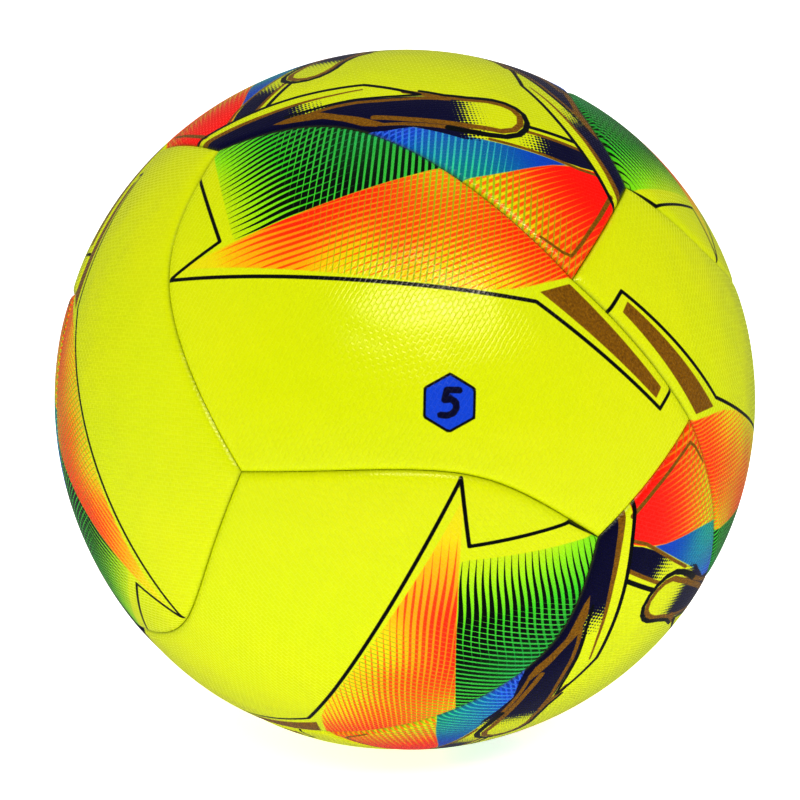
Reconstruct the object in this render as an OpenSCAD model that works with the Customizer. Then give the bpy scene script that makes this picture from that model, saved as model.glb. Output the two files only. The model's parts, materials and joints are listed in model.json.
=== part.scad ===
// Size 5 soccer ball: sixteen stitched cover panels over foam, cloth lining and a bladder.
// Twelve panels have five sides and four have six. All units are millimetres.
// The origin is the centre of the ball, +Z is up and +Y runs out through the valve.
// Panel corners and bends are angles: "polar" is measured from the front three-seam corner,
// which lies on -Y, and "turn" is measured around that corner.

/* [Ball] */
// Outer diameter of the inflated ball
ball_d = 220; // [216:0.5:223]
// Turn of the whole panel layout about the valve axis, in degrees
layout_turn = 17.7; // [0:0.1:120]

/* [Panel outline] */
// Polar angle of the corner that ends a long seam
corner_q_polar = 47; // [44:0.1:50]
// Turn of that corner
corner_q_turn = -30.3; // [-33:0.1:-27]
// Polar angle of the corner at the end of a straight seam
corner_r_polar = 62.1; // [60:0.1:64]
// Turn of that corner
corner_r_turn = -12.6; // [-15:0.1:-10]
// Polar angle of the point that a long seam bends towards
bend_long_polar = 29.3; // [27:0.1:32]
// Turn of that point
bend_long_turn = -13.4; // [-20:0.1:-10]
// Polar angle of the point that a wave seam bends towards
bend_wave_polar = 50.6; // [48:0.1:53]
// Turn of that point
bend_wave_turn = -55.5; // [-60:0.1:-52]
// Polar angle of the point that a short seam bows towards
bow_short_polar = 51.8; // [50:0.1:54]
// Turn of that point
bow_short_turn = -23.6; // [-26:0.1:-21]

/* [Layers] */
// Thickness of the printed cover skin
skin_t = 1; // [0.8:0.1:1.6]
// Thickness of the foam backing
foam_t = 2.5; // [1.5:0.1:3.5]
// Thickness of the cloth lining
lining_t = 0.7; // [0.5:0.1:1.2]
// Depth that the edge of each lining turns in at a seam
hem_depth = 2; // [1:0.1:3]
// Thickness of one turned-in edge
hem_t = 1; // [0.6:0.1:1.4]
// Diameter of the seam thread
thread_d = 0.8; // [0.5:0.1:1.2]
// Wall thickness of the bladder
bladder_t = 0.8; // [0.6:0.1:1.5]

/* [Valve] */
// Diameter of the needle bore in the valve core
needle_bore_d = 2.2; // [1.8:0.1:2.4]
// Length of the needle bore
needle_bore_l = 13; // [8:0.5:14]
// Diameter of the valve core
core_d = 5.2; // [4.6:0.1:6]
// Diameter of the mouth at the tip of the valve housing
mouth_d = 3.2; // [2.6:0.1:3.6]
// Diameter of the housing neck that shows in the cover
neck_d = 6.4; // [6:0.1:7.4]
// Diameter of the housing body below the cover
body_d = 11; // [9:0.5:14]
// Diameter of the housing's bonding flange on the bladder
flange_d = 32; // [24:1:40]
// Diameter of the cloth patch that reinforces the lining around the valve
patch_d = 44; // [36:1:60]
// Diameter of the balance weight patch inside the bladder
balance_d = 36; // [24:1:44]

/* [Hidden] */
// Angle between a three-fold axis and a two-fold axis of the panel layout
HALF_AXIS = acos(1 / sqrt(3));
EPS = 0.01;
FIT_GAP = 0.1;

// Radii of the layers, from the outside in
ball_r = ball_d / 2;
foam_r = ball_r - skin_t;
lining_r = foam_r - foam_t;
lining_in_r = lining_r - lining_t;
hem_r = lining_in_r - hem_depth;
thread_r = hem_r - thread_d / 2;
bladder_r = thread_r - thread_d / 2 - FIT_GAP;
bladder_in_r = bladder_r - bladder_t;
// A pyramid that reaches past the cover even at the middle of its flat facets
reach = ball_r * 1.4;

// Heights of the valve along +Y
tip_y = ball_r - 0.7;
neck_y = foam_r - 0.3;
seat_y = neck_y - 1.2;
core_y = seat_y - needle_bore_l - 2;
housing_y = core_y - 2;
flange_t = 1.2;
patch_t = 0.6;
balance_t = 1.2;

// Straight pieces along each kind of seam
LONG_STEPS = 12;
WAVE_STEPS = 12;
SHORT_STEPS = 4;
STRAIGHT_STEPS = 8;
THREAD_SIDES = 6;
// How far each length of thread stops short of a corner
THREAD_INSET = 1.6;

FIVE_COUNT = 12;
SIX_COUNT = 4;
SEAM_KINDS = ["long", "wave", "short", "straight"];
LAYERS = ["cover", "foam", "lining"];

$fn = 64;

// ---- directions on the ball ----

function unit(v) = v / norm(v);

// Direction at a polar angle and a turn about the front corner on -Y
function dir(polar, turn) = [
    sin(polar) * cos(turn + layout_turn),
    -cos(polar),
    sin(polar) * sin(turn + layout_turn)
];

// A direction turned about the front corner
function spin(v, a) = [v.x * cos(a) - v.z * sin(a), v.y, v.x * sin(a) + v.z * cos(a)];
function spin_all(line, a) = [for (v = line) spin(v, a)];

// A direction after half a turn about an axis
function half_turn(v, axis) = 2 * (v * axis) * axis - v;
function half_turn_all(line, axis) = [for (v = line) half_turn(v, axis)];

function reversed(line) = [for (i = [len(line) - 1:-1:0]) line[i]];

// The three two-fold axes of the layout
TWO_FOLD = [for (i = [0:2]) dir(HALF_AXIS, 120 * i)];

// ---- seams, as curves from corner to corner on a unit sphere ----

CORNER_P = [0, -1, 0];
CORNER_Q = dir(corner_q_polar, corner_q_turn);
CORNER_R = dir(corner_r_polar, corner_r_turn);
BEND_LONG = dir(bend_long_polar, bend_long_turn);
BEND_WAVE = dir(bend_wave_polar, bend_wave_turn);
BOW_SHORT = dir(bow_short_polar, bow_short_turn);

// A cubic curve that both ends leave towards the same bend
function bent(from, bend, to, steps) = [
    for (i = [0:steps])
        let (t = i / steps)
            unit(pow(1 - t, 3) * from + 3 * t * (1 - t) * bend + pow(t, 3) * to)
];
// A quadratic curve
function bowed(from, bow, to, steps) = [
    for (i = [0:steps])
        let (t = i / steps)
            unit(pow(1 - t, 2) * from + 2 * t * (1 - t) * bow + t * t * to)
];
// A stretch of a great circle
function straight(from, to, steps) = [
    for (i = [0:steps])
        unit(from + (to - from) * i / steps)
];

FAR_R = half_turn(CORNER_R, TWO_FOLD[0]);
LONG_SEAM = bent(CORNER_P, BEND_LONG, CORNER_Q, LONG_STEPS);
SHORT_SEAM = bowed(CORNER_Q, BOW_SHORT, CORNER_R, SHORT_STEPS);
STRAIGHT_SEAM = straight(CORNER_R, FAR_R, STRAIGHT_STEPS);
WAVE_SEAM = bent(CORNER_Q, BEND_WAVE, spin(FAR_R, -120), WAVE_STEPS);

// ---- panel outlines, counter-clockwise seen from outside ----

function without_last(line) = [for (i = [0:len(line) - 2]) line[i]];

// The first five-sided panel: long, short, straight, wave and long seams
FIVE_OUTLINE = concat(
    without_last(LONG_SEAM),
    without_last(SHORT_SEAM),
    [CORNER_R],
    without_last(reversed(spin_all(WAVE_SEAM, 120))),
    without_last(reversed(spin_all(LONG_SEAM, 120)))
);
FIVE_MIDDLE = unit(CORNER_P + CORNER_Q + CORNER_R + FAR_R + spin(CORNER_Q, 120));

// One third of the rear six-sided panel: a short seam and then a wave seam
SIX_THIRD = half_turn_all(
    concat(without_last(reversed(SHORT_SEAM)), without_last(WAVE_SEAM)),
    TWO_FOLD[1]
);
SIX_OUTLINE = concat(SIX_THIRD, spin_all(SIX_THIRD, -120), spin_all(SIX_THIRD, -240));
SIX_MIDDLE = [0, 1, 0];

// ---- solids shared by the panels ----

// The outline moved inwards by a distance measured at a given radius
function inset(outline, distance, radius) = [
    for (i = [0:len(outline) - 1])
        let (
            before = outline[(i + len(outline) - 1) % len(outline)],
            after = outline[(i + 1) % len(outline)],
            inward = unit(cross(outline[i], after - before))
        )
            unit(outline[i] + inward * distance / radius)
];

// A pyramid from the centre of the ball out through a panel outline
module sector(outline, middle) {
    n = len(outline);
    polyhedron(
        points = concat([[0, 0, 0], reach * middle], reach * outline),
        faces = concat(
            [for (i = [0:n - 1]) [0, 2 + i, 2 + (i + 1) % n]],
            [for (i = [0:n - 1]) [1, 2 + (i + 1) % n, 2 + i]]
        )
    );
}

// A layer of the ball inside a panel outline
module panel_layer(outline, middle, outer, inner) {
    difference() {
        intersection() {
            sphere(r = outer);
            sector(outline, middle);
        }
        sphere(r = inner);
    }
}

// The cloth layer, whose edges turn in to be stitched
module hemmed_layer(outline, middle) {
    difference() {
        intersection() {
            sphere(r = lining_r);
            sector(outline, middle);
        }
        intersection() {
            sphere(r = lining_in_r);
            sector(inset(outline, hem_t, lining_in_r), middle);
        }
        sphere(r = hem_r);
    }
}

// One layer of a panel in its first place
module layer_solid(outline, middle, layer) {
    if (layer == "cover")
        color("#d9ea00") panel_layer(outline, middle, ball_r, foam_r);
    if (layer == "foam")
        color("#e9e4d2") panel_layer(outline, middle, foam_r, lining_r);
    if (layer == "lining")
        color("#f4f1e6") hemmed_layer(outline, middle);
}

// A solid moved from its first place by half a turn about a two-fold axis, or left there
module half_turned(h) {
    if (h == 0) children();
    else rotate(a = 180, v = TWO_FOLD[h - 1]) children();
}

// The k-th of the twelve places that the layout's turns give
module twelve_place(k) {
    half_turned(floor(k / 3))
        rotate(a = 120 * (k % 3), v = CORNER_P)
            children();
}

// A cylinder on the valve axis
module on_valve_axis(from_y, to_y, d) {
    translate([0, from_y, 0])
        rotate([-90, 0, 0])
            cylinder(h = to_y - from_y, d = d);
}

// ---- panels ----

module five_side(layer, k) {
    twelve_place(k - 1) layer_solid(FIVE_OUTLINE, FIVE_MIDDLE, layer);
}

// The first six-sided panel is at the rear and has the hole for the valve
module six_side(layer, k) {
    hole_d = (layer == "cover" ? neck_d : body_d) + 2 * FIT_GAP;
    if (k == 1)
        color(layer == "cover" ? "#d9ea00" : "#e9e4d2")
            difference() {
                layer_solid(SIX_OUTLINE, SIX_MIDDLE, layer);
                on_valve_axis(bladder_r, ball_r + 1, hole_d);
            }
    else
        half_turned(k - 1) layer_solid(SIX_OUTLINE, SIX_MIDDLE, layer);
}

// ---- seam thread ----

// The stretch of a seam between its two corners, with its ends pulled back
function pulled_back(line) = let (
    last = len(line) - 1,
    back = THREAD_INSET / thread_r,
    start = unit(line[0] + unit(line[1] - line[0]) * back),
    stop = unit(line[last] + unit(line[last - 1] - line[last]) * back)
) concat([start], [for (i = [1:last - 1]) line[i]], [stop]);

// A round thread laid along a seam just inside the hems
module thread(seam) {
    line = pulled_back(seam);
    last = len(line) - 1;
    rings = [
        for (i = [0:last])
            let (
                out = line[i],
                along = unit(line[min(i + 1, last)] - line[max(i - 1, 0)]),
                side = unit(cross(out, along))
            )
                for (s = [0:THREAD_SIDES - 1])
                    let (a = 360 * s / THREAD_SIDES)
                        thread_r * out + thread_d / 2 * (cos(a) * side + sin(a) * out)
    ];
    n = THREAD_SIDES;
    polyhedron(
        points = rings,
        faces = concat(
            [[for (s = [0:n - 1]) s]],
            [for (i = [0:last - 1]) for (s = [0:n - 1])
                [i * n + s, (i + 1) * n + s, (i + 1) * n + (s + 1) % n, i * n + (s + 1) % n]],
            [[for (s = [n - 1:-1:0]) last * n + s]]
        )
    );
}

// A straight seam maps onto itself under its own half turn, so it has six places and not twelve
STRAIGHT_PLACES = [0, 1, 2, 4, 5, 6];
ALL_PLACES = [for (k = [0:FIVE_COUNT - 1]) k];

module thread_run(kind) {
    seam = kind == "long" ? LONG_SEAM
        : kind == "wave" ? WAVE_SEAM
        : kind == "short" ? SHORT_SEAM
        : STRAIGHT_SEAM;
    places = kind == "straight" ? STRAIGHT_PLACES : ALL_PLACES;
    color("#f2f2ee")
        for (k = places)
            twelve_place(k) thread(seam);
}

// ---- bladder and valve ----

module bladder() {
    color("#20201f")
        difference() {
            sphere(r = bladder_r);
            sphere(r = bladder_in_r);
            on_valve_axis(bladder_in_r - 5, bladder_r + 1, body_d);
        }
}

// A disc cut from a spherical layer, on the valve axis or opposite it
module patch(outer, inner, d, hole_d, side) {
    difference() {
        intersection() {
            sphere(r = outer);
            rotate([-90 * side, 0, 0])
                cylinder(h = ball_r, d = d);
        }
        sphere(r = inner);
        if (hole_d > 0)
            on_valve_axis(0, ball_r, hole_d);
    }
}

// Bonding flange that holds the valve housing to the outside of the bladder
module valve_flange() {
    color("#2a2a29")
        patch(bladder_r + flange_t, bladder_r, flange_d, body_d, 1);
}

// Moulded rubber housing with a neck that shows in the cover
module valve_housing() {
    color("#161616")
        difference() {
            union() {
                on_valve_axis(housing_y, neck_y, body_d);
                on_valve_axis(neck_y - EPS, tip_y, neck_d);
            }
            on_valve_axis(core_y, seat_y, core_d);
            on_valve_axis(seat_y - EPS, tip_y + 1, mouth_d);
        }
}

// Plug with the needle bore, closed at its inner end
module valve_core() {
    color("#3c3c3a")
        difference() {
            on_valve_axis(core_y, seat_y, core_d);
            on_valve_axis(seat_y - needle_bore_l, seat_y + 1, needle_bore_d);
        }
}

// Cloth patch that reinforces the lining of the valve panel
module valve_patch() {
    color("#d8d2bd")
        patch(lining_in_r, lining_in_r - patch_t, patch_d, body_d + 2 * FIT_GAP, 1);
}

// Weight inside the bladder that balances the valve
module balance_patch() {
    color("#2f2f2e")
        patch(bladder_in_r, bladder_in_r - balance_t, balance_d, 0, -1);
}

for (layer = LAYERS) {
    for (k = [1:FIVE_COUNT])
        five_side(layer, k);
    for (k = [1:SIX_COUNT])
        six_side(layer, k);
}
for (kind = SEAM_KINDS)
    thread_run(kind);
bladder();
valve_flange();
valve_housing();
valve_core();
valve_patch();
balance_patch();
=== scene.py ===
"""Size 5 soccer ball: sixteen printed polyurethane panels stitched over foam, cloth and a bladder.

All sizes are millimetres until a mesh is placed, and metres from then on. The origin is the
centre of the ball, +Z is up and +Y runs out through the valve.
"""

from __future__ import annotations

import json
import logging
import math
from dataclasses import dataclass, field
from enum import Enum
from typing import ClassVar

import bmesh
import bpy
import numpy as np
from mathutils import Matrix, Vector, kdtree

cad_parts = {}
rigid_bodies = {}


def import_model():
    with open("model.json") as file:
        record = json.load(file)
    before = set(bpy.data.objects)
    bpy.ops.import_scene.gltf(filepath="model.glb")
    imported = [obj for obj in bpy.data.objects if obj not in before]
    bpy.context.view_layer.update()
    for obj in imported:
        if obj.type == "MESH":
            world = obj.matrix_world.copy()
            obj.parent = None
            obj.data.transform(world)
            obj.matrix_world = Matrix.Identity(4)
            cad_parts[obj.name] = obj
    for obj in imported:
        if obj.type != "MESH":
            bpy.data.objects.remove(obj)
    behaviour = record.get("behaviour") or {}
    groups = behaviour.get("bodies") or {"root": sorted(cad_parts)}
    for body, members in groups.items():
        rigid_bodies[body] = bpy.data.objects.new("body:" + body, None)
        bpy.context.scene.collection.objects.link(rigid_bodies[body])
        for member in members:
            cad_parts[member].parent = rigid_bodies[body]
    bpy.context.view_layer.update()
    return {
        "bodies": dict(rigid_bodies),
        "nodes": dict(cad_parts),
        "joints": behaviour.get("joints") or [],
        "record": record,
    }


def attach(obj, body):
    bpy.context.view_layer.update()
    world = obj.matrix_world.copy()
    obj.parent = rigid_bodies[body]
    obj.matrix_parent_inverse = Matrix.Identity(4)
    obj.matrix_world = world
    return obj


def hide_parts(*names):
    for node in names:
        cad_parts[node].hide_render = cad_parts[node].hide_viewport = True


LOG = logging.getLogger("soccer_ball")
MM = 0.001

BALL_R = 110.0
FOAM_IN_R = 106.5
LAYOUT_TURN = 17.7
HALF_AXIS = math.degrees(math.acos(1 / math.sqrt(3)))

Points = tuple[tuple[float, float], ...]


# ---- directions and seams on the ball ----


def unit(vectors: np.ndarray) -> np.ndarray:
    """Scale each vector to length one."""
    return vectors / np.linalg.norm(vectors, axis=-1, keepdims=True)


def direction(polar: float, turn: float) -> np.ndarray:
    """Give a direction on the ball.

    Args:
        polar: Angle from the front three-seam corner on -Y, in degrees.
        turn: Angle around that corner, in degrees.

    Returns:
        A unit vector.
    """
    p, t = math.radians(polar), math.radians(turn + LAYOUT_TURN)
    return np.array([math.sin(p) * math.cos(t), -math.cos(p), math.sin(p) * math.sin(t)])


def spun(vectors: np.ndarray, angle: float) -> np.ndarray:
    """Turn directions about the front corner, by an angle in degrees."""
    a = math.radians(angle)
    turn = np.array(
        [[math.cos(a), 0, math.sin(a)], [0, 1, 0], [-math.sin(a), 0, math.cos(a)]]
    )
    return vectors @ turn


def half_turned(vectors: np.ndarray, axis: np.ndarray) -> np.ndarray:
    """Turn directions by half a turn about an axis."""
    return 2 * np.outer(np.atleast_2d(vectors) @ axis, axis) - np.atleast_2d(vectors)


def curve(controls: list[np.ndarray], steps: int) -> np.ndarray:
    """Draw a seam on the ball from its end corners and its bends.

    Args:
        controls: The corner, the bends and the far corner.
        steps: Pieces that the seam is drawn in.

    Returns:
        steps + 1 directions, both ends included.
    """
    t = np.linspace(0, 1, steps + 1)[:, None]
    n = len(controls) - 1
    total = sum(
        math.comb(n, k) * (1 - t) ** (n - k) * t**k * c for k, c in enumerate(controls)
    )
    return unit(total)


class Seams:
    """The corners and the four kinds of seam that the whole layout repeats."""

    FINE = 600

    def __init__(self) -> None:
        """Work out the corners and draw each kind of seam finely."""
        self.two_fold = [direction(HALF_AXIS, 120 * i) for i in range(3)]
        self.p = np.array([0.0, -1.0, 0.0])
        self.q = direction(47, -30.3)
        self.r = direction(62.1, -12.6)
        self.far_r = half_turned(self.r, self.two_fold[0])[0]
        bend_long, bend_wave = direction(29.3, -13.4), direction(50.6, -55.5)
        wave_end = spun(self.far_r, -120)
        self.long = curve([self.p, bend_long, bend_long, self.q], self.FINE)
        self.wave = curve([self.q, bend_wave, bend_wave, wave_end], self.FINE)
        self.short = curve([self.q, direction(51.8, -23.6), self.r], self.FINE)
        self.straight = curve([self.r, unit(self.r + self.far_r), self.far_r], self.FINE)

    def five_side(self) -> list[np.ndarray]:
        """List the seams round a five-sided panel, anticlockwise from outside."""
        return [
            self.long,
            self.short,
            self.straight,
            spun(self.wave, 120)[::-1],
            spun(self.long, 120)[::-1],
        ]

    def six_side(self) -> list[np.ndarray]:
        """List the seams round the rear six-sided panel, anticlockwise from outside."""
        short = half_turned(self.short[::-1], self.two_fold[1])
        wave = half_turned(self.wave, self.two_fold[1])
        return [spun(seam, -120 * k) for k in range(3) for seam in (short, wave)]

    def five_frame(self) -> "PanelFrame":
        """Give the flat coordinates of a five-sided panel."""
        middle = self.p + self.q + self.r + self.far_r + spun(self.q, 120)
        return PanelFrame(unit(middle), self.two_fold[0] - self.p)

    def six_frame(self) -> "PanelFrame":
        """Give the flat coordinates of the rear six-sided panel."""
        corner = half_turned(self.q, self.two_fold[1])[0]
        return PanelFrame(np.array([0.0, 1.0, 0.0]), corner)

    def place(self, half: int, third: int) -> Matrix:
        """Give the turn that carries a first panel to its place.

        Args:
            half: 0, or the number of the two-fold axis of a half turn.
            third: Number of third turns about the front corner, made first.

        Returns:
            A 4 by 4 rotation.
        """
        turn = Matrix.Rotation(math.radians(120 * third), 4, Vector(self.p))
        if half:
            axis = Vector(self.two_fold[half - 1])
            turn = Matrix.Rotation(math.pi, 4, axis) @ turn
        return turn


class PanelFrame:
    """Flat coordinates of a panel, in true distance and direction from a middle point."""

    def __init__(self, middle: np.ndarray, towards: np.ndarray) -> None:
        """Set the middle and the way that x runs.

        Args:
            middle: Unit vector to the middle of the panel.
            towards: Any vector on the x side of the middle.
        """
        self.middle = middle
        self.x = unit(towards - middle * float(towards @ middle))
        self.y = np.cross(self.middle, self.x)

    def flat(self, vectors: np.ndarray) -> np.ndarray:
        """Lay directions on the ball out flat, in millimetres."""
        angle = np.arccos(np.clip(vectors @ self.middle, -1, 1))
        stretch = np.where(angle > 1e-9, angle / np.maximum(np.sin(angle), 1e-9), 1)
        flat = np.stack([vectors @ self.x, vectors @ self.y], axis=-1)
        return flat * stretch[..., None] * BALL_R

    def wrapped(self, flat: np.ndarray) -> np.ndarray:
        """Wrap flat coordinates back onto the ball as directions."""
        reach = np.linalg.norm(flat, axis=-1, keepdims=True)
        angle = reach / BALL_R
        pull = np.where(reach > 1e-9, np.sin(angle) / np.maximum(reach, 1e-9), 1 / BALL_R)
        side = flat[..., :1] * self.x + flat[..., 1:] * self.y
        return np.cos(angle) * self.middle + pull * side


# ---- printed artwork ----


def path_distance(points: np.ndarray, path: Points, closed: bool = False) -> tuple:
    """Measure the distance from points to a path of straight pieces.

    Args:
        points: Flat coordinates, one row each.
        path: Corners of the path.
        closed: Whether the last corner joins the first.

    Returns:
        The distance of each point and how far along the path it is, from 0 to 1.
    """
    corners = np.array(path + path[:1] if closed else path, dtype=float)
    best = np.full(len(points), np.inf)
    along = np.zeros(len(points))
    pieces = np.linalg.norm(np.diff(corners, axis=0), axis=1)
    run, total = 0.0, pieces.sum()
    for a, b, length in zip(corners[:-1], corners[1:], pieces):
        t = np.clip((points - a) @ (b - a) / length**2, 0, 1)
        gap = np.linalg.norm(points - a - t[:, None] * (b - a), axis=1)
        nearer = gap < best
        best = np.where(nearer, gap, best)
        along = np.where(nearer, (run + t * length) / total, along)
        run += length
    return best, along


def inside(points: np.ndarray, outline: Points) -> np.ndarray:
    """Tell which points lie inside a closed outline."""
    result = np.zeros(len(points), dtype=bool)
    x, y = points[:, 0], points[:, 1]
    for (ax, ay), (bx, by) in zip(outline, outline[1:] + outline[:1]):
        if ay == by:
            continue
        crosses = (ay > y) != (by > y)
        result ^= crosses & (x < (bx - ax) * (y - ay) / (by - ay) + ax)
    return result


def outline_edge(points: np.ndarray, outline: Points) -> np.ndarray:
    """Measure from points to a closed outline, negative inside it."""
    gap, _ = path_distance(points, outline, closed=True)
    return np.where(inside(points, outline), -gap, gap)


def blended(points: np.ndarray, spots: tuple, spread: float) -> np.ndarray:
    """Blend values that are given at a few spots over a panel.

    Args:
        points: Flat coordinates, one row each.
        spots: Each spot's x, y and value.
        spread: Distance over which one spot gives way to the next, in millimetres.

    Returns:
        One value for each point.
    """
    near = np.full(len(points), np.inf)
    gaps = []
    for x, y, _ in spots:
        gap = np.hypot(points[:, 0] - x, points[:, 1] - y)
        gaps.append(gap)
        near = np.minimum(near, gap)
    weights = [np.exp(-(gap**2 - near**2) / (2 * spread**2)) for gap in gaps]
    return sum(w * s[2] for w, s in zip(weights, spots)) / sum(weights)


class Ink(Enum):
    """The solid inks, by the component of the ink attribute that each is kept in."""

    BLACK = 0
    BRONZE = 1
    NAVY = 2


@dataclass(frozen=True)
class Stroke:
    """A printed line.

    Attributes:
        ink: Ink of the line.
        path: Corners of its middle.
        width: Width at its start, in millimetres.
        end_width: Width at its end, or 0 for the same width.
    """

    ink: Ink
    path: Points
    width: float
    end_width: float = 0.0

    def edge(self, points: np.ndarray) -> np.ndarray:
        """Measure from points to the stroke's edge, negative inside the ink."""
        gap, along = path_distance(points, self.path)
        end = self.end_width or self.width
        return gap - (self.width + (end - self.width) * along) / 2


@dataclass(frozen=True)
class Area:
    """A printed patch.

    Attributes:
        ink: Ink of the patch.
        outline: Its corners.
    """

    ink: Ink
    outline: Points

    def edge(self, points: np.ndarray) -> np.ndarray:
        """Measure from points to the patch's edge, negative inside the ink."""
        return outline_edge(points, self.outline)


@dataclass(frozen=True)
class Rays:
    """One family of fine printed rays, which lie nearly side by side.

    Attributes:
        slope: Slope of the rays at the pivot, in degrees from x.
        fan: Change of slope for each millimetre across the rays, in degrees.
        pivot: Point that the slope is given at.
        pitch: Distance from ray to ray at the pivot, in millimetres.
        bend: Depth of the slow wave in the rays, in millimetres.
        bend_length: Length of that wave, in millimetres.
    """

    slope: float
    fan: float
    pivot: tuple[float, float]
    pitch: float
    bend: float = 0.0
    bend_length: float = 40.0

    def count(self, points: np.ndarray) -> np.ndarray:
        """Number the rays across the panel, with whole numbers on their middles."""
        a = math.radians(self.slope)
        flat = points - np.array(self.pivot)
        along = flat @ np.array([math.cos(a), math.sin(a)])
        across = flat @ np.array([-math.sin(a), math.cos(a)])
        across = across / (1 + math.radians(self.fan) * along)
        across = across + self.bend * np.sin(along * 2 * math.pi / self.bend_length)
        return across / self.pitch


@dataclass(frozen=True)
class RayZone:
    """A printed zone of fine rays in blending colours.

    Attributes:
        outline: Corners of the zone, which may run on over the seam.
        first: The broad rays.
        second: The fine rays that cross them.
        first_width: Spots for the share of the pitch that a broad ray fills.
        second_width: Spots for the share of the pitch that a fine ray fills.
        tone: Spots for the place on the zone's colour scale.
        width_spread: Distance over which the widths blend, in millimetres.
        tone_spread: Distance over which the tones blend, in millimetres.
    """

    outline: Points
    first: Rays
    second: Rays
    first_width: tuple
    second_width: tuple
    tone: tuple
    width_spread: float = 5.0
    tone_spread: float = 6.0

    def fields(self, points: np.ndarray) -> tuple[np.ndarray, np.ndarray]:
        """Work out the zone's two vector attributes.

        Args:
            points: Flat coordinates, one row each.

        Returns:
            (broad ray number, fine ray number, distance to the edge) and
            (broad width, fine width, tone), one row for each point.
        """
        edge = outline_edge(points, self.outline)
        rays = [self.first.count(points), self.second.count(points), edge]
        look = [
            blended(points, self.first_width, self.width_spread),
            blended(points, self.second_width, self.width_spread),
            blended(points, self.tone, self.tone_spread),
        ]
        return np.stack(rays, axis=1), np.stack(look, axis=1)


@dataclass(frozen=True)
class Artwork:
    """All that is printed on one kind of panel.

    Attributes:
        warm: The orange and red rays.
        cool: The green and blue rays.
        solids: Strokes and patches of solid ink.
        navy_fade: Spots for how full the navy is, where it breaks into dots.
        repeats: How often the artwork repeats round the middle of the panel.
        fade_spread: Distance over which the navy's fade blends, in millimetres.
        far: Distance given to a point that is nowhere near an ink, in millimetres.
    """

    warm: RayZone
    cool: RayZone
    solids: tuple
    navy_fade: tuple
    repeats: int = 1
    fade_spread: float = 3.0
    far: float = 50.0

    def fields(self, points: np.ndarray) -> dict[str, np.ndarray]:
        """Work out the attributes that the cover material draws the print from."""
        made = [self._fields_once(p) for p in self._turned(points)]
        rows = np.arange(len(points))
        result = {}
        for zone in ("warm", "cool"):
            pick = np.stack([m[zone + "_rays"][:, 2] for m in made]).argmin(axis=0)
            for kind in ("_rays", "_look"):
                result[zone + kind] = np.stack([m[zone + kind] for m in made])[pick, rows]
        inks = np.stack([m["inks"] for m in made])
        nearest_navy = inks[:, :, Ink.NAVY.value].argmin(axis=0)
        result["ink_edges"] = inks.min(axis=0)
        # Every attribute is a vector, so the fade fills all three components.
        fade = np.stack([m["fade"] for m in made])[nearest_navy, rows]
        result["navy_fade"] = np.stack([fade] * 3, axis=1)
        return result

    def _turned(self, points: np.ndarray) -> list[np.ndarray]:
        """Turn the points back by each repeat."""
        result = []
        for k in range(self.repeats):
            a = 2 * math.pi * k / self.repeats
            turn = np.array([[math.cos(a), math.sin(a)], [-math.sin(a), math.cos(a)]])
            result.append(points @ turn)
        return result

    def _fields_once(self, points: np.ndarray) -> dict[str, np.ndarray]:
        """Work out the attributes of one repeat."""
        warm_rays, warm_look = self.warm.fields(points)
        cool_rays, cool_look = self.cool.fields(points)
        inks = np.full((len(points), len(Ink)), self.far)
        for solid in self.solids:
            column = solid.ink.value
            inks[:, column] = np.minimum(inks[:, column], solid.edge(points))
        return {
            "warm_rays": warm_rays,
            "warm_look": warm_look,
            "cool_rays": cool_rays,
            "cool_look": cool_look,
            "inks": inks,
            "fade": blended(points, self.navy_fade, self.fade_spread),
        }


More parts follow.
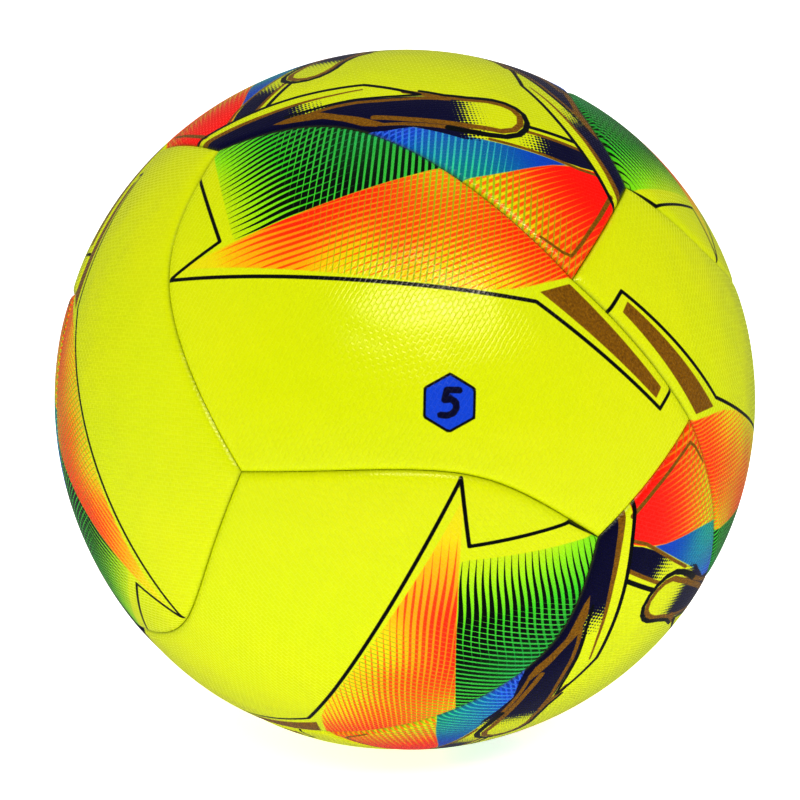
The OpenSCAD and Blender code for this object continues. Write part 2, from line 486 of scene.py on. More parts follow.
FIVE_ARTWORK = Artwork(
    warm=RayZone(
        outline=(
            (-64, 47.2), (-45, 47.6), (-30, 48.1), (8, 49.2), (16, 52), (40, 12),
            (31, 11.5), (28, 13), (14, 13.2), (4, 15.5), (-25, 29), (-48, 40),
        ),
        first=Rays(slope=-1.5, fan=-0.35, pivot=(-10, 40), pitch=1.5, bend=0.12, bend_length=26),
        second=Rays(slope=65, fan=0.1, pivot=(0, 35), pitch=1.5),
        first_width=(
            (-60, 46.5, -0.3), (-54, 45.6, -0.1), (-46, 41.5, -0.15), (-26, 31.5, -0.12),
            (-8, 23, -0.1), (8, 15.5, 0.0), (-48, 46.5, 0.42), (-36, 40, 0.4), (-20, 33, 0.34),
            (-4, 26, 0.45), (12, 17.5, 0.5), (-38, 46, 0.78), (-24, 41, 0.78),
            (-8, 34, 0.74), (8, 26, 0.72), (20, 20, 0.74), (0, 44, 0.86), (25, 15, 0.6),
        ),
        second_width=(
            (-60, 47, -0.2), (-42, 44, -0.15), (-34, 36, -0.1), (-25, 30, 0.22),
            (-22, 40, 0.1), (-8, 40, 0.18), (5, 42, 0.3), (-10, 25, 0.26),
            (8, 30, 0.16), (18, 22, 0.06), (12, 16, 0.06),
        ),
        tone=(
            (-58, 46.5, 0.3), (-46, 45.5, 0.5), (-38, 40, 0.46), (-32, 46.5, 0.8),
            (-18, 45, 0.74), (-4, 42, 0.62), (6, 45.5, 0.16), (3, 39, 0.42),
            (-22, 36, 0.5), (-20, 31, 0.26), (-6, 33, 0.58), (10, 34, 0.6),
            (-2, 24, 0.34), (10, 20, 0.42), (20, 24, 0.82), (24, 17, 0.7), (14, 14.5, 0.3),
        ),
    ),
    cool=RayZone(
        outline=(
            (-47.5, 47.6), (-30, 48.1), (8, 49.2), (20, 50), (16, 66), (-10, 84), (-48, 96),
        ),
        first=Rays(slope=3, fan=0.42, pivot=(-46, 50), pitch=1.75, bend=0.16, bend_length=19),
        second=Rays(slope=66.5, fan=0.0, pivot=(-10, 60), pitch=1.68),
        first_width=(
            (-49, 48, -0.1), (-49, 60, -0.1), (-49, 75, -0.1), (-42, 52, 0.36),
            (-42, 64, 0.34), (-40, 78, 0.32), (-34, 52, 0.62), (-33, 66, 0.56),
            (-30, 78, 0.5), (-25, 53, 0.84), (-22, 64, 0.76), (-20, 75, 0.66),
            (-12, 54, 1.05), (-10, 66, 0.95), (4, 52, 1.1), (2, 62, 1.1),
        ),
        second_width=(
            (-49, 50, -0.3), (-40, 60, -0.3), (-34, 50, -0.25), (-33, 64, -0.15),
            (-34, 78, -0.2), (-26, 52, 0.2), (-25, 65, 0.3), (-25, 78, 0.3),
            (-14, 52, 0.3), (-12, 64, 0.42), (-3, 52, 0.46), (0, 60, 0.56), (8, 50, 0.5),
        ),
        tone=(
            (-49, 48, 0.0), (-49, 60, 0.0), (-49, 72, 0.0), (-46, 83, 0.22), (-43, 50, 0.04),
            (-43, 62, 0.08), (-42, 74, 0.2), (-36, 51, 0.16), (-36, 62, 0.24),
            (-34, 52, 0.24), (-34, 70, 0.3), (-34, 80, 0.3), (-24, 54, 0.4), (-22, 66, 0.42),
            (-20, 76, 0.4), (-8, 54, 0.44), (-14, 64, 0.54), (-6, 66, 0.56), (4, 54, 0.46),
            (8, 50, 0.42), (-20, 80, 0.56),
        ),
    ),
    solids=(
        Stroke(
            Ink.BLACK,
            (
                (-44.5, 88), (-53.5, 75.5), (-51.2, 49.6), (-68.3, 46), (-38, 33.1),
                (-1, 17.2), (17, 9.2), (43.6, -24.3), (49.6, -20.3), (53, -18),
            ),
            1.0,
        ),
        Area(Ink.BRONZE, ((18.8, 11.2), (27.2, 11.4), (45.6, -19.2), (43, -21.4))),
    ),
    navy_fade=((0, 0, 0.0), (1, 1, 0.0)),
)

SIX_ARTWORK = Artwork(
    warm=RayZone(
        outline=(
            (58.4, -8.2), (66, -11.2), (72, -13), (84, -30), (80, -48), (34, -48),
            (37, -41.6), (41, -36), (44, -31), (47, -25), (50, -19), (54, -13),
        ),
        first=Rays(slope=74, fan=-0.6, pivot=(58, -28), pitch=1.6),
        second=Rays(slope=-57, fan=0.0, pivot=(58, -36), pitch=1.65),
        first_width=(
            (60, -11, 1.2), (58, -17, 1.05), (66, -16, 1.1), (52, -21, 0.85), (60, -24, 0.8),
            (69, -24, 0.85), (48, -30, 0.66), (56, -32, 0.64), (67, -32, 0.72),
            (42, -39, 0.5), (55, -40, 0.46), (69, -39, 0.6),
        ),
        second_width=(
            (60, -12, -0.3), (55, -20, -0.3), (66, -20, -0.3), (50, -26, -0.2),
            (64, -28, -0.15), (46, -33, 0.2), (56, -34, 0.2), (66, -34, 0.16),
            (44, -38, 0.44), (54, -38, 0.42), (65, -38, 0.4), (71, -38, 0.1),
        ),
        tone=(
            (60, -12, 1.0), (66, -16, 0.97), (57, -18, 0.95), (54, -21, 0.86),
            (62, -24, 0.82), (70, -26, 0.86), (50, -27, 0.7), (58, -29, 0.68),
            (67, -31, 0.74), (46, -34, 0.5), (56, -34, 0.5), (65, -35, 0.55),
            (44, -38, 0.24), (54, -38.5, 0.22), (65, -38.5, 0.36), (71, -36, 0.74),
        ),
    ),
    cool=RayZone(
        outline=(
            (52.5, -15), (47, -18.5), (43, -21), (38, -24), (33, -27), (27, -30.5),
            (20, -33.6), (10, -38), (0, -42), (2, -48), (34, -48), (37, -41.6), (41, -36),
            (44, -31), (47, -25), (50, -19),
        ),
        first=Rays(slope=60, fan=0.0, pivot=(18, -36), pitch=1.35),
        second=Rays(slope=-60, fan=-0.25, pivot=(30, -36), pitch=1.65),
        first_width=(
            (8, -40, 0.4), (14, -38, 0.4), (20, -36, 0.36), (25, -33, 0.2), (29, -36, -0.1),
            (34, -32, -0.4), (44, -26, -0.4), (30, -41, -0.2),
        ),
        second_width=(
            (50, -18, -0.4), (45, -22, -0.2), (41, -26, 0.06), (36, -30, 0.26),
            (32, -36, 0.38), (26, -33, 0.24), (22, -38, 0.36), (38, -37, 0.34),
            (14, -40, 0.3), (6, -41, 0.3),
        ),
        tone=(
            (50, -18, 0.88), (45, -22, 0.87), (41, -27, 0.82), (41, -33, 0.68),
            (34, -31, 0.77), (31, -36, 0.7), (36, -40, 0.56), (28, -32, 0.86),
            (25, -37, 0.76), (20, -35, 0.94), (12, -39, 0.98), (24, -41, 0.7), (6, -41, 0.98),
        ),
    ),
    solids=(
        # Line, bare stripe and brown line that run in from the corner.
        Stroke(
            Ink.BLACK,
            (
                (71, -13.6), (66, -11.9), (59, -8.6), (48, -3.9), (40, -0.2), (24.5, 7.5),
                (20, 12.8), (14.2, 19.7),
            ),
            1.3,
        ),
        Stroke(
            Ink.BRONZE,
            ((70, -9.5), (67, -8), (60, -4.3), (50, 0.4), (40, 4.4), (33, 7.3), (26, 9.7)),
            2.3, 0.6,
        ),
        # Navy corner between the brown line and the seam, and the strip that runs on from it.
        Area(
            Ink.NAVY,
            (
                (72, -8), (66, 4), (50, 14), (38, 24), (29, 30), (22, 32), (16, 37), (12, 40.5),
                (8, 42.4), (0, 43), (-6, 39), (-6, 31), (5, 25.2), (14.5, 20.6), (22, 17.6),
                (30, 13.6), (36, 11.2), (38, 10.4), (36, 6.4), (40, 4.6), (50, 0.6),
                (60, -4.1), (67, -7.8),
            ),
        ),
        Stroke(
            Ink.BLACK,
            ((47, 6.8), (40, 9.8), (36, 11.1), (30, 13.3), (25, 15.7), (20, 17.9), (14.6, 19.8)),
            1.0,
        ),
        Stroke(
            Ink.BRONZE,
            ((41, 11.2), (36, 12.7), (30, 15), (25, 17.6), (20, 19.7), (14, 21.8), (8, 24.4)),
            1.3,
        ),
        # Bronze wedge along the seam, which runs on as a thin line.
        Area(
            Ink.BRONZE,
            (
                (51, 6.8), (48, 7.6), (45, 8.6), (40, 11.6), (36, 17), (32, 21.5), (28, 27),
                (30, 27.5), (33, 25), (36, 20.6), (40, 15.6), (45, 12), (49, 9),
            ),
        ),
        Stroke(
            Ink.BRONZE, ((29, 27.2), (24, 29.6), (18, 33), (12, 36.4), (7, 39.2)), 1.1, 1.6
        ),
        # Loop with a bare oval.
        Stroke(
            Ink.BLACK,
            (
                (9, -20.6), (15, -18.3), (20, -14.8), (25, -10.1), (28, -8.4), (31, -7.8),
                (34, -8.5), (36.6, -10.9), (38, -14), (38.1, -17.6), (36.4, -21.3),
                (33.2, -24.2), (29, -27), (24, -29.6),
            ),
            1.1, 2.0,
        ),
        Stroke(
            Ink.BRONZE,
            (
                (6, -23.2), (12, -21), (16, -18.9), (20.5, -15.8), (24.5, -12), (28, -9.9),
                (31, -9.3), (34, -10.5), (36, -13.6), (36.2, -17), (34.4, -20.4),
                (31, -22.8), (27, -25.6), (20, -29.8), (14, -33.2), (6, -37),
            ),
            1.8,
        ),
        # Second band, with its navy block.
        Stroke(Ink.BLACK, ((48.5, -4.1), (38, -12)), 1.4),
        Stroke(Ink.BRONZE, ((51.5, -5.2), (45, -9.9), (38.8, -14.3)), 1.2),
        Area(
            Ink.NAVY,
            (
                (51, -5.6), (58, -8), (55, -11.5), (50.5, -15.4), (46.5, -17.8),
                (41, -20.6), (38.4, -20), (39, -14.2), (45, -9.8),
            ),
        ),
        Stroke(
            Ink.BRONZE,
            ((59.4, -8.6), (55, -12.8), (50, -16), (45, -19), (40, -22), (34, -25.6)),
            1.0,
        ),
        # Corner line inside the red rays.
        Stroke(
            Ink.BRONZE,
            ((65.6, -11), (67.4, -20), (69, -32), (69.3, -37.6), (67, -38.9), (60.5, -40.4)),
            1.4, 0.7,
        ),
    ),
    navy_fade=(
        (66, 0, 1.2), (56, 4, 1.2), (48, 5, 1.05), (46, 5.4, 0.75), (43.6, 6, 0.45),
        (41, 7, 0.25), (38, 8, 0.0), (41, 14, 1.2), (34, 14.5, 1.2), (30, 22, 1.2),
        (20, 27, 1.2), (14, 31, 1.1), (10, 31, 0.75), (7, 33, 0.4), (3.4, 33.5, 0.0),
        (-6, 36, -0.2), (50, -10, 1.2), (46.5, -13, 0.95), (44.4, -15, 0.55),
        (42, -16, 0.3), (39.6, -17, 0.0),
    ),
    repeats=3,
)


@dataclass(frozen=True)
class SizeMark:
    """The hexagon with the ball's size number.

    Attributes:
        middle: Its middle on the panel, in millimetres.
        turn: Turn of the upright mark from the panel's x, in degrees.
        radius: Distance from the middle to a corner.
        rim: Width of its black rim.
        numeral: Strokes of the number, on the upright mark.
        numeral_width: Width of those strokes.
    """

    # Depths are kept with this added, so that 0 on the other panels reads as no mark.
    ZERO: ClassVar[float] = 4.0

    middle: tuple[float, float] = (-10.0, -7.5)
    turn: float = -17.7
    radius: float = 6.9
    rim: float = 0.6
    numeral: Points = (
        (2.2, 2.9), (-0.7, 2.9), (-1.2, 0.6), (0.3, 0.85), (1.4, 0.2),
        (1.6, -1.1), (0.9, -2.3), (-0.5, -2.9), (-2.1, -2.75),
    )
    numeral_width: float = 1.5

    def field(self, points: np.ndarray) -> np.ndarray:
        """Measure from points into the blue hexagon, its rim and the number.

        Args:
            points: Flat coordinates, one row each.

        Returns:
            ZERO plus the depth inside the whole mark, inside the blue and inside the
            number, one row for each point.
        """
        a = math.radians(self.turn)
        turn = np.array([[math.cos(a), -math.sin(a)], [math.sin(a), math.cos(a)]])
        upright = (points - np.array(self.middle)) @ turn
        angles = [math.radians(90 + 60 * k) for k in range(6)]
        corners = tuple((self.radius * math.cos(b), self.radius * math.sin(b)) for b in angles)
        whole = -outline_edge(upright, corners)
        number = -Stroke(Ink.BLACK, self.numeral, self.numeral_width).edge(upright)
        return np.stack([whole, whole - self.rim, number], axis=1) + self.ZERO


# ---- finishes ----


def linear(hex_colour: str) -> tuple[float, float, float, float]:
    """Turn an sRGB hex colour into the linear colour that a shader takes."""
    parts = [int(hex_colour[i : i + 2], 16) / 255 for i in (1, 3, 5)]
    rgb = [c / 12.92 if c <= 0.04045 else ((c + 0.055) / 1.055) ** 2.4 for c in parts]
    return (*rgb, 1.0)


class Nodes:
    """A material's node tree under construction."""

    def __init__(self, name: str) -> None:
        """Start a node material.

        Args:
            name: Name of the material.
        """
        self.material = bpy.data.materials.new(name)
        self.material.use_nodes = True
        self.tree = self.material.node_tree
        self.tree.nodes.clear()

    def add(self, kind: str, settings: dict | None = None, **links: object):
        """Add a node with its settings and its inputs.

        Args:
            kind: Node type, without its ShaderNode prefix.
            settings: Properties to set on the node, and stops for a colour scale's places
                and hex colours.
            **links: Inputs by name, with spaces as _, or by number as i0, i1 and so on.
                A socket is linked and anything else is set as the input's value.

        Returns:
            The node.
        """
        node = self.tree.nodes.new("ShaderNode" + kind)
        for key, value in (settings or {}).items():
            if key != "stops":
                setattr(node, key, value)
                continue
            stops = node.color_ramp.elements
            while len(stops) < len(value):
                stops.new(0.5)
            for stop, (place, colour) in zip(stops, value):
                stop.position, stop.color = place, linear(colour)
        for key, value in links.items():
            if key[0] == "i" and key[1:].isdigit():
                socket = node.inputs[int(key[1:])]
            else:
                socket = node.inputs[key.replace("_", " ")]
            if isinstance(value, bpy.types.NodeSocket):
                self.tree.links.new(value, socket)
            else:
                socket.default_value = value
        return node

    def layered(self, base, layers: list[tuple]):
        """Print layers over a base colour.

        Args:
            base: Socket of the colour below.
            layers: Each layer's colour and the socket of how much it covers, from below up.

        Returns:
            The socket of the whole colour.
        """
        for colour, cover in layers:
            base = self.add("MixRGB", Fac=cover, Color1=base, Color2=colour).outputs[0]
        return base

    def finish(self, shader) -> bpy.types.Material:
        """Join the shader to the output and give the material."""
        self.add("OutputMaterial", Surface=shader.outputs[0])
        return self.material


@dataclass(frozen=True)
class PrintedPolyurethane:
    """Cover skin: polyurethane cast on a grained paper, printed, with a clear satin coat.

    The eye gets a dense, even colour, crisp ink, and a broad soft highlight that the
    grain breaks into short slanted glints. Sizes are millimetres on the panel, and heights
    of bumps are metres.
    """

    yellow: str = "#D6DC00"
    lime_shade: str = "#CADC00"
    black: str = "#060A10"
    bronze_light: str = "#946A06"
    bronze_dark: str = "#6C4A04"
    navy: str = "#07053A"
    badge_blue: str = "#1850D0"
    numeral_blue: str = "#04083A"
    # Colour of the painted shade in the seam groove.
    seam_shade: str = "#6E7A06"
    warm_scale: tuple = (
        (0.0, "#4E6A10"), (0.2, "#EE9A0C"), (0.42, "#EE660A"), (0.66, "#EE3A08"),
        (0.85, "#F42006"), (1.0, "#FF0C00"),
    )
    warm_gap_scale: tuple = (
        (0.0, "#7E9A14"), (0.2, "#D2DC00"), (0.38, "#E2D200"), (0.5, "#ECB006"),
        (0.66, "#F08E0E"), (0.85, "#F25410"), (1.0, "#FF1E08"),
    )
    warm_line_scale: tuple = (
        (0.0, "#3C8A20"), (0.25, "#98D010"), (0.5, "#A8A010"), (0.8, "#C07C14"),
        (1.0, "#FF3010"),
    )
    cool_scale: tuple = (
        (0.0, "#D0DC00"), (0.16, "#94DE08"), (0.3, "#44CC28"), (0.46, "#209A3A"),
        (0.6, "#0C8A68"), (0.72, "#0A7E9C"), (0.86, "#0A50C0"), (1.0, "#082C98"),
    )
    cool_stroke_scale: tuple = (
        (0.0, "#04100A"), (0.44, "#021408"), (0.56, "#0A5A20"), (0.76, "#0E70A0"),
        (0.88, "#2E62E0"), (1.0, "#4A7CF0"),
    )
    cool_line_scale: tuple = (
        (0.0, "#D0DC00"), (0.3, "#58D838"), (0.5, "#34B04C"), (0.7, "#3CC8A0"),
        (0.86, "#3C8CDC"), (1.0, "#2A50C8"),
    )
    # The cast grain is rows of short raised dashes. A real cast is finer, by a rough estimate
    # 0.8 to 1.0 mm, and it is drawn coarser so that it shows.
    grain_row: float = 1.1
    grain_dash: float = 2.1
    grain_slope: float = 42.0
    grain_gap: float = 0.33
    grain_height: float = 0.00012
    # The grain's rows wander by up to this much, over about 3 mm.
    wander: float = 0.6
    wander_scale: float = 0.35
    # Slow swells of the soft panel break the highlight into patches.
    swell_scale: float = 0.07
    swell_height: float = 0.0006
    blotch_scale: float = 0.03
    streak_scale: float = 1.6
    dot_pitch: float = 1.0
    ink_softness: float = 0.16
    dot_softness: float = 0.12
    ray_softness: float = 0.13
    zone_softness: float = 0.25
    # Painted shade in the seam groove: its width from the seam and how much it covers there.
    seam_shade_width: float = 0.6
    seam_shade_cover: float = 0.35

    def covers_below(self, nodes: Nodes, value, soft: float):
        """Give 1 where a value is below 0 and 0 above it, with an edge of the given softness."""
        node = nodes.add(
            "MapRange", {"interpolation_type": "SMOOTHSTEP"},
            Value=value, i1=soft, i2=-soft, i3=0.0, i4=1.0,
        )
        return node.outputs[0]

    def ray_cover(self, nodes: Nodes, number, width):
        """Give how much the rays of one family cover, from their number and their width."""
        wave = nodes.add("Math", {"operation": "PINGPONG"}, i0=number, i1=0.5)
        gap = nodes.add("Math", {"operation": "MULTIPLY"}, i0=wave.outputs[0], i1=2.0)
        rest = nodes.add("Math", {"operation": "SUBTRACT"}, i0=gap.outputs[0], i1=width)
        return self.covers_below(nodes, rest.outputs[0], self.ray_softness)

    def zone_layer(self, nodes: Nodes, zone: str, scales: tuple) -> tuple:
        """Print one zone of rays.

        Args:
            nodes: The tree to add it to.
            zone: First part of the zone's attribute names.
            scales: Colour scales between the rays, of the broad rays and of the fine rays.

        Returns:
            The sockets of the zone's colour and of how much it covers.
        """
        rays = nodes.add("Attribute", {"attribute_name": zone + "_rays"}).outputs["Vector"]
        look = nodes.add("Attribute", {"attribute_name": zone + "_look"}).outputs["Vector"]
        ray = nodes.add("SeparateXYZ", Vector=rays).outputs
        width = nodes.add("SeparateXYZ", Vector=look).outputs
        gap, broad, fine = (
            nodes.add("ValToRGB", {"stops": scale}, Fac=width[2]).outputs["Color"]
            for scale in scales
        )
        colour = nodes.layered(
            gap,
            [
                (broad, self.ray_cover(nodes, ray[0], width[0])),
                (fine, self.ray_cover(nodes, ray[1], width[1])),
            ],
        )
        return colour, self.covers_below(nodes, ray[2], self.zone_softness)

    def navy_cover(self, nodes: Nodes, navy, place):
        """Give how much the navy covers, broken into dots where it fades."""
        fades = nodes.add("Attribute", {"attribute_name": "navy_fade"}).outputs["Vector"]
        fade = nodes.add("SeparateXYZ", Vector=fades).outputs[0]
        turned = nodes.add(
            "Mapping",
            Vector=place,
            Rotation=(0.0, 0.0, math.radians(45)),
            Scale=(1 / self.dot_pitch, 1 / self.dot_pitch, 0.0),
        )
        dots = nodes.add(
            "TexVoronoi", {"voronoi_dimensions": "2D"},
            Vector=turned.outputs[0], Scale=1.0, Randomness=0.15,
        )
        size = nodes.add("Math", {"operation": "SUBTRACT"}, i0=dots.outputs["Distance"], i1=fade)
        full = self.covers_below(nodes, size.outputs[0], self.dot_softness)
        edge = self.covers_below(nodes, navy, self.ink_softness)
        return nodes.add("Math", {"operation": "MULTIPLY"}, i0=full, i1=edge).outputs[0]

    def grain(self, nodes: Nodes, place):
        """Give the height of the cast grain: staggered rows of short slanted dashes."""
        noise = nodes.add("TexNoise", Vector=place, Scale=self.wander_scale, Detail=1.0)
        shift = nodes.add(
            "VectorMath", {"operation": "SCALE"}, i0=noise.outputs["Color"], Scale=self.wander
        )
        moved = nodes.add("VectorMath", {"operation": "ADD"}, i0=place, i1=shift.outputs[0])
        turned = nodes.add(
            "Mapping", {"vector_type": "TEXTURE"},
            Vector=moved.outputs[0],
            Rotation=(0.0, 0.0, math.radians(self.grain_slope)),
        )
        dashes = nodes.add(
            "TexBrick",
            Vector=turned.outputs[0],
            Scale=1.0,
            Mortar_Size=self.grain_gap,
            Mortar_Smooth=1.0,
            Brick_Width=self.grain_dash,
            Row_Height=self.grain_row,
        )
        fine = nodes.add("TexNoise", Vector=place, Scale=2.2, Detail=2.0)
        faint = nodes.add("Math", {"operation": "MULTIPLY"}, i0=fine.outputs[0], i1=0.5)
        # The pattern is 1 in the gaps, so the dashes stand up when it is taken away.
        height = nodes.add(
            "Math", {"operation": "SUBTRACT"}, i0=faint.outputs[0], i1=dashes.outputs["Fac"]
        )
        return height.outputs[0]

    def mark_layers(self, nodes: Nodes) -> list[tuple]:
        """Print the size mark: black hexagon, blue hexagon and number."""
        mark = nodes.add("Attribute", {"attribute_name": "size_mark"}).outputs["Vector"]
        depths = nodes.add("SeparateXYZ", Vector=mark).outputs
        soft = self.ink_softness
        layers = []
        for socket, colour in zip(depths, (self.black, self.badge_blue, self.numeral_blue)):
            cover = nodes.add(
                "MapRange", {"interpolation_type": "SMOOTHSTEP"},
                Value=socket, i1=SizeMark.ZERO - soft, i2=SizeMark.ZERO + soft, i3=0.0, i4=1.0,
            )
            layers.append((linear(colour), cover.outputs[0]))
        return layers

    def make(self) -> bpy.types.Material:
        """Build the material."""
        nodes = Nodes("printed_polyurethane")
        place = nodes.add("Attribute", {"attribute_name": "panel_mm"}).outputs["Vector"]
        from_seam = nodes.add("SeparateXYZ", Vector=place).outputs[2]
        blotch = nodes.add("TexNoise", Vector=place, Scale=self.blotch_scale, Detail=2.0)
        inks = nodes.add("Attribute", {"attribute_name": "ink_edges"}).outputs["Vector"]
        edge = nodes.add("SeparateXYZ", Vector=inks).outputs
        streak = nodes.add(
            "TexNoise", Vector=place, Scale=self.streak_scale, Detail=2.0, Roughness=0.6
        )
        bronze = nodes.add(
            "ValToRGB", {"stops": ((0.3, self.bronze_dark), (0.7, self.bronze_light))},
            Fac=streak.outputs[0],
        ).outputs["Color"]
        # Painted shade in the seam groove darkens it slightly.
        seam_shade = nodes.add(
            "MapRange", {"interpolation_type": "SMOOTHSTEP"},
            Value=from_seam, i1=0.0, i2=self.seam_shade_width, i3=self.seam_shade_cover, i4=0.0,
        ).outputs[0]
        cool = (self.cool_scale, self.cool_stroke_scale, self.cool_line_scale)
        warm = (self.warm_gap_scale, self.warm_scale, self.warm_line_scale)
        soft = self.ink_softness
        colour = nodes.layered(
            linear(self.lime_shade),
            [
                (linear(self.yellow), blotch.outputs[0]),
                self.zone_layer(nodes, "cool", cool),
                self.zone_layer(nodes, "warm", warm),
                (linear(self.navy), self.navy_cover(nodes, edge[Ink.NAVY.value], place)),
                (bronze, self.covers_below(nodes, edge[Ink.BRONZE.value], soft)),
                (linear(self.black), self.covers_below(nodes, edge[Ink.BLACK.value], soft)),
                *self.mark_layers(nodes),
                # Painted shade in the seam groove, laid over everything.
                (linear(self.seam_shade), seam_shade),
            ],
        )
        swell = nodes.add("TexNoise", Vector=place, Scale=self.swell_scale, Detail=1.0)
        swollen = nodes.add(
            "Bump", Height=swell.outputs[0], Strength=1.0, Distance=self.swell_height
        )
        height = self.grain(nodes, place)
        bump = nodes.add(
            "Bump", Height=height, Strength=0.26, Distance=self.grain_height,
            Normal=swollen.outputs[0],
        )
        # The raised dashes are rubbed smoother than the gaps.
        rough = nodes.add("MapRange", Value=height, i1=-0.6, i2=0.7, i3=0.3, i4=0.17)
        shader = nodes.add(
            "BsdfPrincipled",
            Base_Color=colour,
            Roughness=rough.outputs[0],
            IOR=1.5,
            Specular_IOR_Level=0.5,
            Normal=bump.outputs[0],
        )
        return nodes.finish(shader)


@dataclass(frozen=True)
class WovenCloth:
    """Woven polyester and cotton: matt, with a visible over-and-under of the threads.

    Attributes:
        name: Name of the material.
        warp: Colour of the raised threads.
        gap: Colour of the painted shade in the hollows between threads.
        thread_mm: Spacing of the threads, drawn coarser than the real 0.5 mm.
    """

    name: str
    warp: str
    gap: str
    thread_mm: float = 0.9

    def make(self) -> bpy.types.Material:
        """Build the material."""
        nodes = Nodes(self.name)
        place = nodes.add("TexCoord").outputs["Object"]
        pitch = 2 * math.pi / (self.thread_mm * MM)
        axes = nodes.add("SeparateXYZ", Vector=place).outputs
        waves = []
        for axis in axes:
            turn = nodes.add("Math", {"operation": "MULTIPLY"}, i0=axis, i1=pitch)
            waves.append(nodes.add("Math", {"operation": "SINE"}, i0=turn.outputs[0]).outputs[0])
        cross = nodes.add("Math", {"operation": "MULTIPLY"}, i0=waves[0], i1=waves[2])
        weave = nodes.add(
            "Math", {"operation": "MULTIPLY_ADD"}, i0=waves[1], i1=0.5, i2=cross.outputs[0]
        )
        fuzz = nodes.add("TexNoise", Vector=place, Scale=1400.0, Detail=3.0)
        height = nodes.add(
            "Math", {"operation": "ADD"}, i0=weave.outputs[0], i1=fuzz.outputs[0]
        )
        share = nodes.add("MapRange", Value=height.outputs[0], i1=-0.6, i2=1.4, i3=0.0, i4=1.0)
        # The hollows of the weave get the gap colour, which is painted shade.
        colour = nodes.add(
            "MixRGB", None, Fac=share.outputs[0],
            Color1=linear(self.gap), Color2=linear(self.warp),
        )
        bump = nodes.add("Bump", Height=height.outputs[0], Strength=0.6, Distance=0.0002)
        shader = nodes.add(
            "BsdfPrincipled",
            Base_Color=colour.outputs[0],
            Roughness=0.85,
            IOR=1.5,
            Specular_IOR_Level=0.25,
            Sheen_Weight=0.3,
            Normal=bump.outputs[0],
        )
        return nodes.finish(shader)


@dataclass(frozen=True)
class CellFoam:
    """Closed-cell EVA foam: matt and pale, with fine pores on its cut faces.

    Attributes:
        name: Name of the material.
        wall: Colour of the cell walls.
        pore: Colour of the painted shade inside the pores.
        cell_mm: Size of a cell, drawn coarser than the real 0.3 mm.
    """

    name: str = "eva_foam"
    wall: str = "#E9E4D6"
    # Painted shade inside the pores.
    pore: str = "#B9B2A0"
    cell_mm: float = 0.7

    def make(self) -> bpy.types.Material:
        """Build the material."""
        nodes = Nodes(self.name)
        place = nodes.add("TexCoord").outputs["Object"]
        cells = nodes.add("TexVoronoi", Vector=place, Scale=1 / (self.cell_mm * MM))
        cloud = nodes.add("TexNoise", Vector=place, Scale=120.0, Detail=2.0)
        share = nodes.add(
            "Math", {"operation": "MULTIPLY"}, i0=cells.outputs["Distance"], i1=cloud.outputs[0]
        )
        # Darker in the pores as painted shade, with the amount varied at random by the cloud
        # noise.
        colour = nodes.add(
            "MixRGB", None, Fac=share.outputs[0],
            Color1=linear(self.pore), Color2=linear(self.wall),
        )
        bump = nodes.add(
            "Bump", Height=cells.outputs["Distance"], Strength=0.5, Distance=0.0002
        )
        shader = nodes.add(
            "BsdfPrincipled",
            Base_Color=colour.outputs[0],
            Roughness=0.8,
            IOR=1.45,
            Specular_IOR_Level=0.5,
            Normal=bump.outputs[0],
        )
        return nodes.finish(shader)


@dataclass(frozen=True)
class TwistedPolyester:
    """Waxed polyester stitching thread: smooth strands twisted together, slightly glossy.

    Attributes:
        name: Name of the material.
        strand: Colour of the strands.
        hollow: Colour of the painted shade in the hollows of the twist.
        twist_mm: Length of one twist.
    """

    name: str = "twisted_polyester"
    strand: str = "#F2F0E4"
    # Painted shade in the hollows of the twist.
    hollow: str = "#A8A494"
    twist_mm: float = 1.2

    def make(self) -> bpy.types.Material:
        """Build the material."""
        nodes = Nodes(self.name)
        place = nodes.add("TexCoord").outputs["Object"]
        twist = nodes.add(
            "TexWave", {"bands_direction": "DIAGONAL"},
            Vector=place, Scale=1 / (self.twist_mm * MM) / 3, Distortion=1.5, Detail=1.0,
        )
        # The hollows of the twist get painted shade.
        colour = nodes.add(
            "MixRGB", None, Fac=twist.outputs["Fac"],
            Color1=linear(self.hollow), Color2=linear(self.strand),
        )
        bump = nodes.add("Bump", Height=twist.outputs["Fac"], Strength=0.6, Distance=0.0001)
        shader = nodes.add(
            "BsdfPrincipled",
            Base_Color=colour.outputs[0],
            Roughness=0.45,
            IOR=1.55,
            Normal=bump.outputs[0],
        )
        return nodes.finish(shader)


@dataclass(frozen=True)
class VulcanisedRubber:
    """Moulded rubber: near-black and dull, with a faint bloom and a fine mould texture.

    Attributes:
        name: Name of the material.
        dark: Main colour.
        bloom: Colour of the pale bloom.
        roughness: Roughness of the surface.
        grit_mm: Size of the mould texture.
    """

    name: str
    dark: str
    bloom: str
    roughness: float = 0.5
    grit_mm: float = 0.35

    def make(self) -> bpy.types.Material:
        """Build the material."""
        nodes = Nodes(self.name)
        place = nodes.add("TexCoord").outputs["Object"]
        cloud = nodes.add("TexNoise", Vector=place, Scale=90.0, Detail=4.0)
        grit = nodes.add("TexNoise", Vector=place, Scale=1 / (self.grit_mm * MM), Detail=2.0)
        colour = nodes.add(
            "MixRGB", None, Fac=cloud.outputs[0],
            Color1=linear(self.dark), Color2=linear(self.bloom),
        )
        rough = nodes.add(
            "MapRange", Value=grit.outputs[0],
            i1=0.3, i2=0.7, i3=self.roughness - 0.08, i4=self.roughness + 0.1,
        )
        bump = nodes.add("Bump", Height=grit.outputs[0], Strength=0.4, Distance=0.00008)
        shader = nodes.add(
            "BsdfPrincipled",
            Base_Color=colour.outputs[0],
            Roughness=rough.outputs[0],
            IOR=1.52,
            Normal=bump.outputs[0],
        )
        return nodes.finish(shader)


# ---- mesh work ----


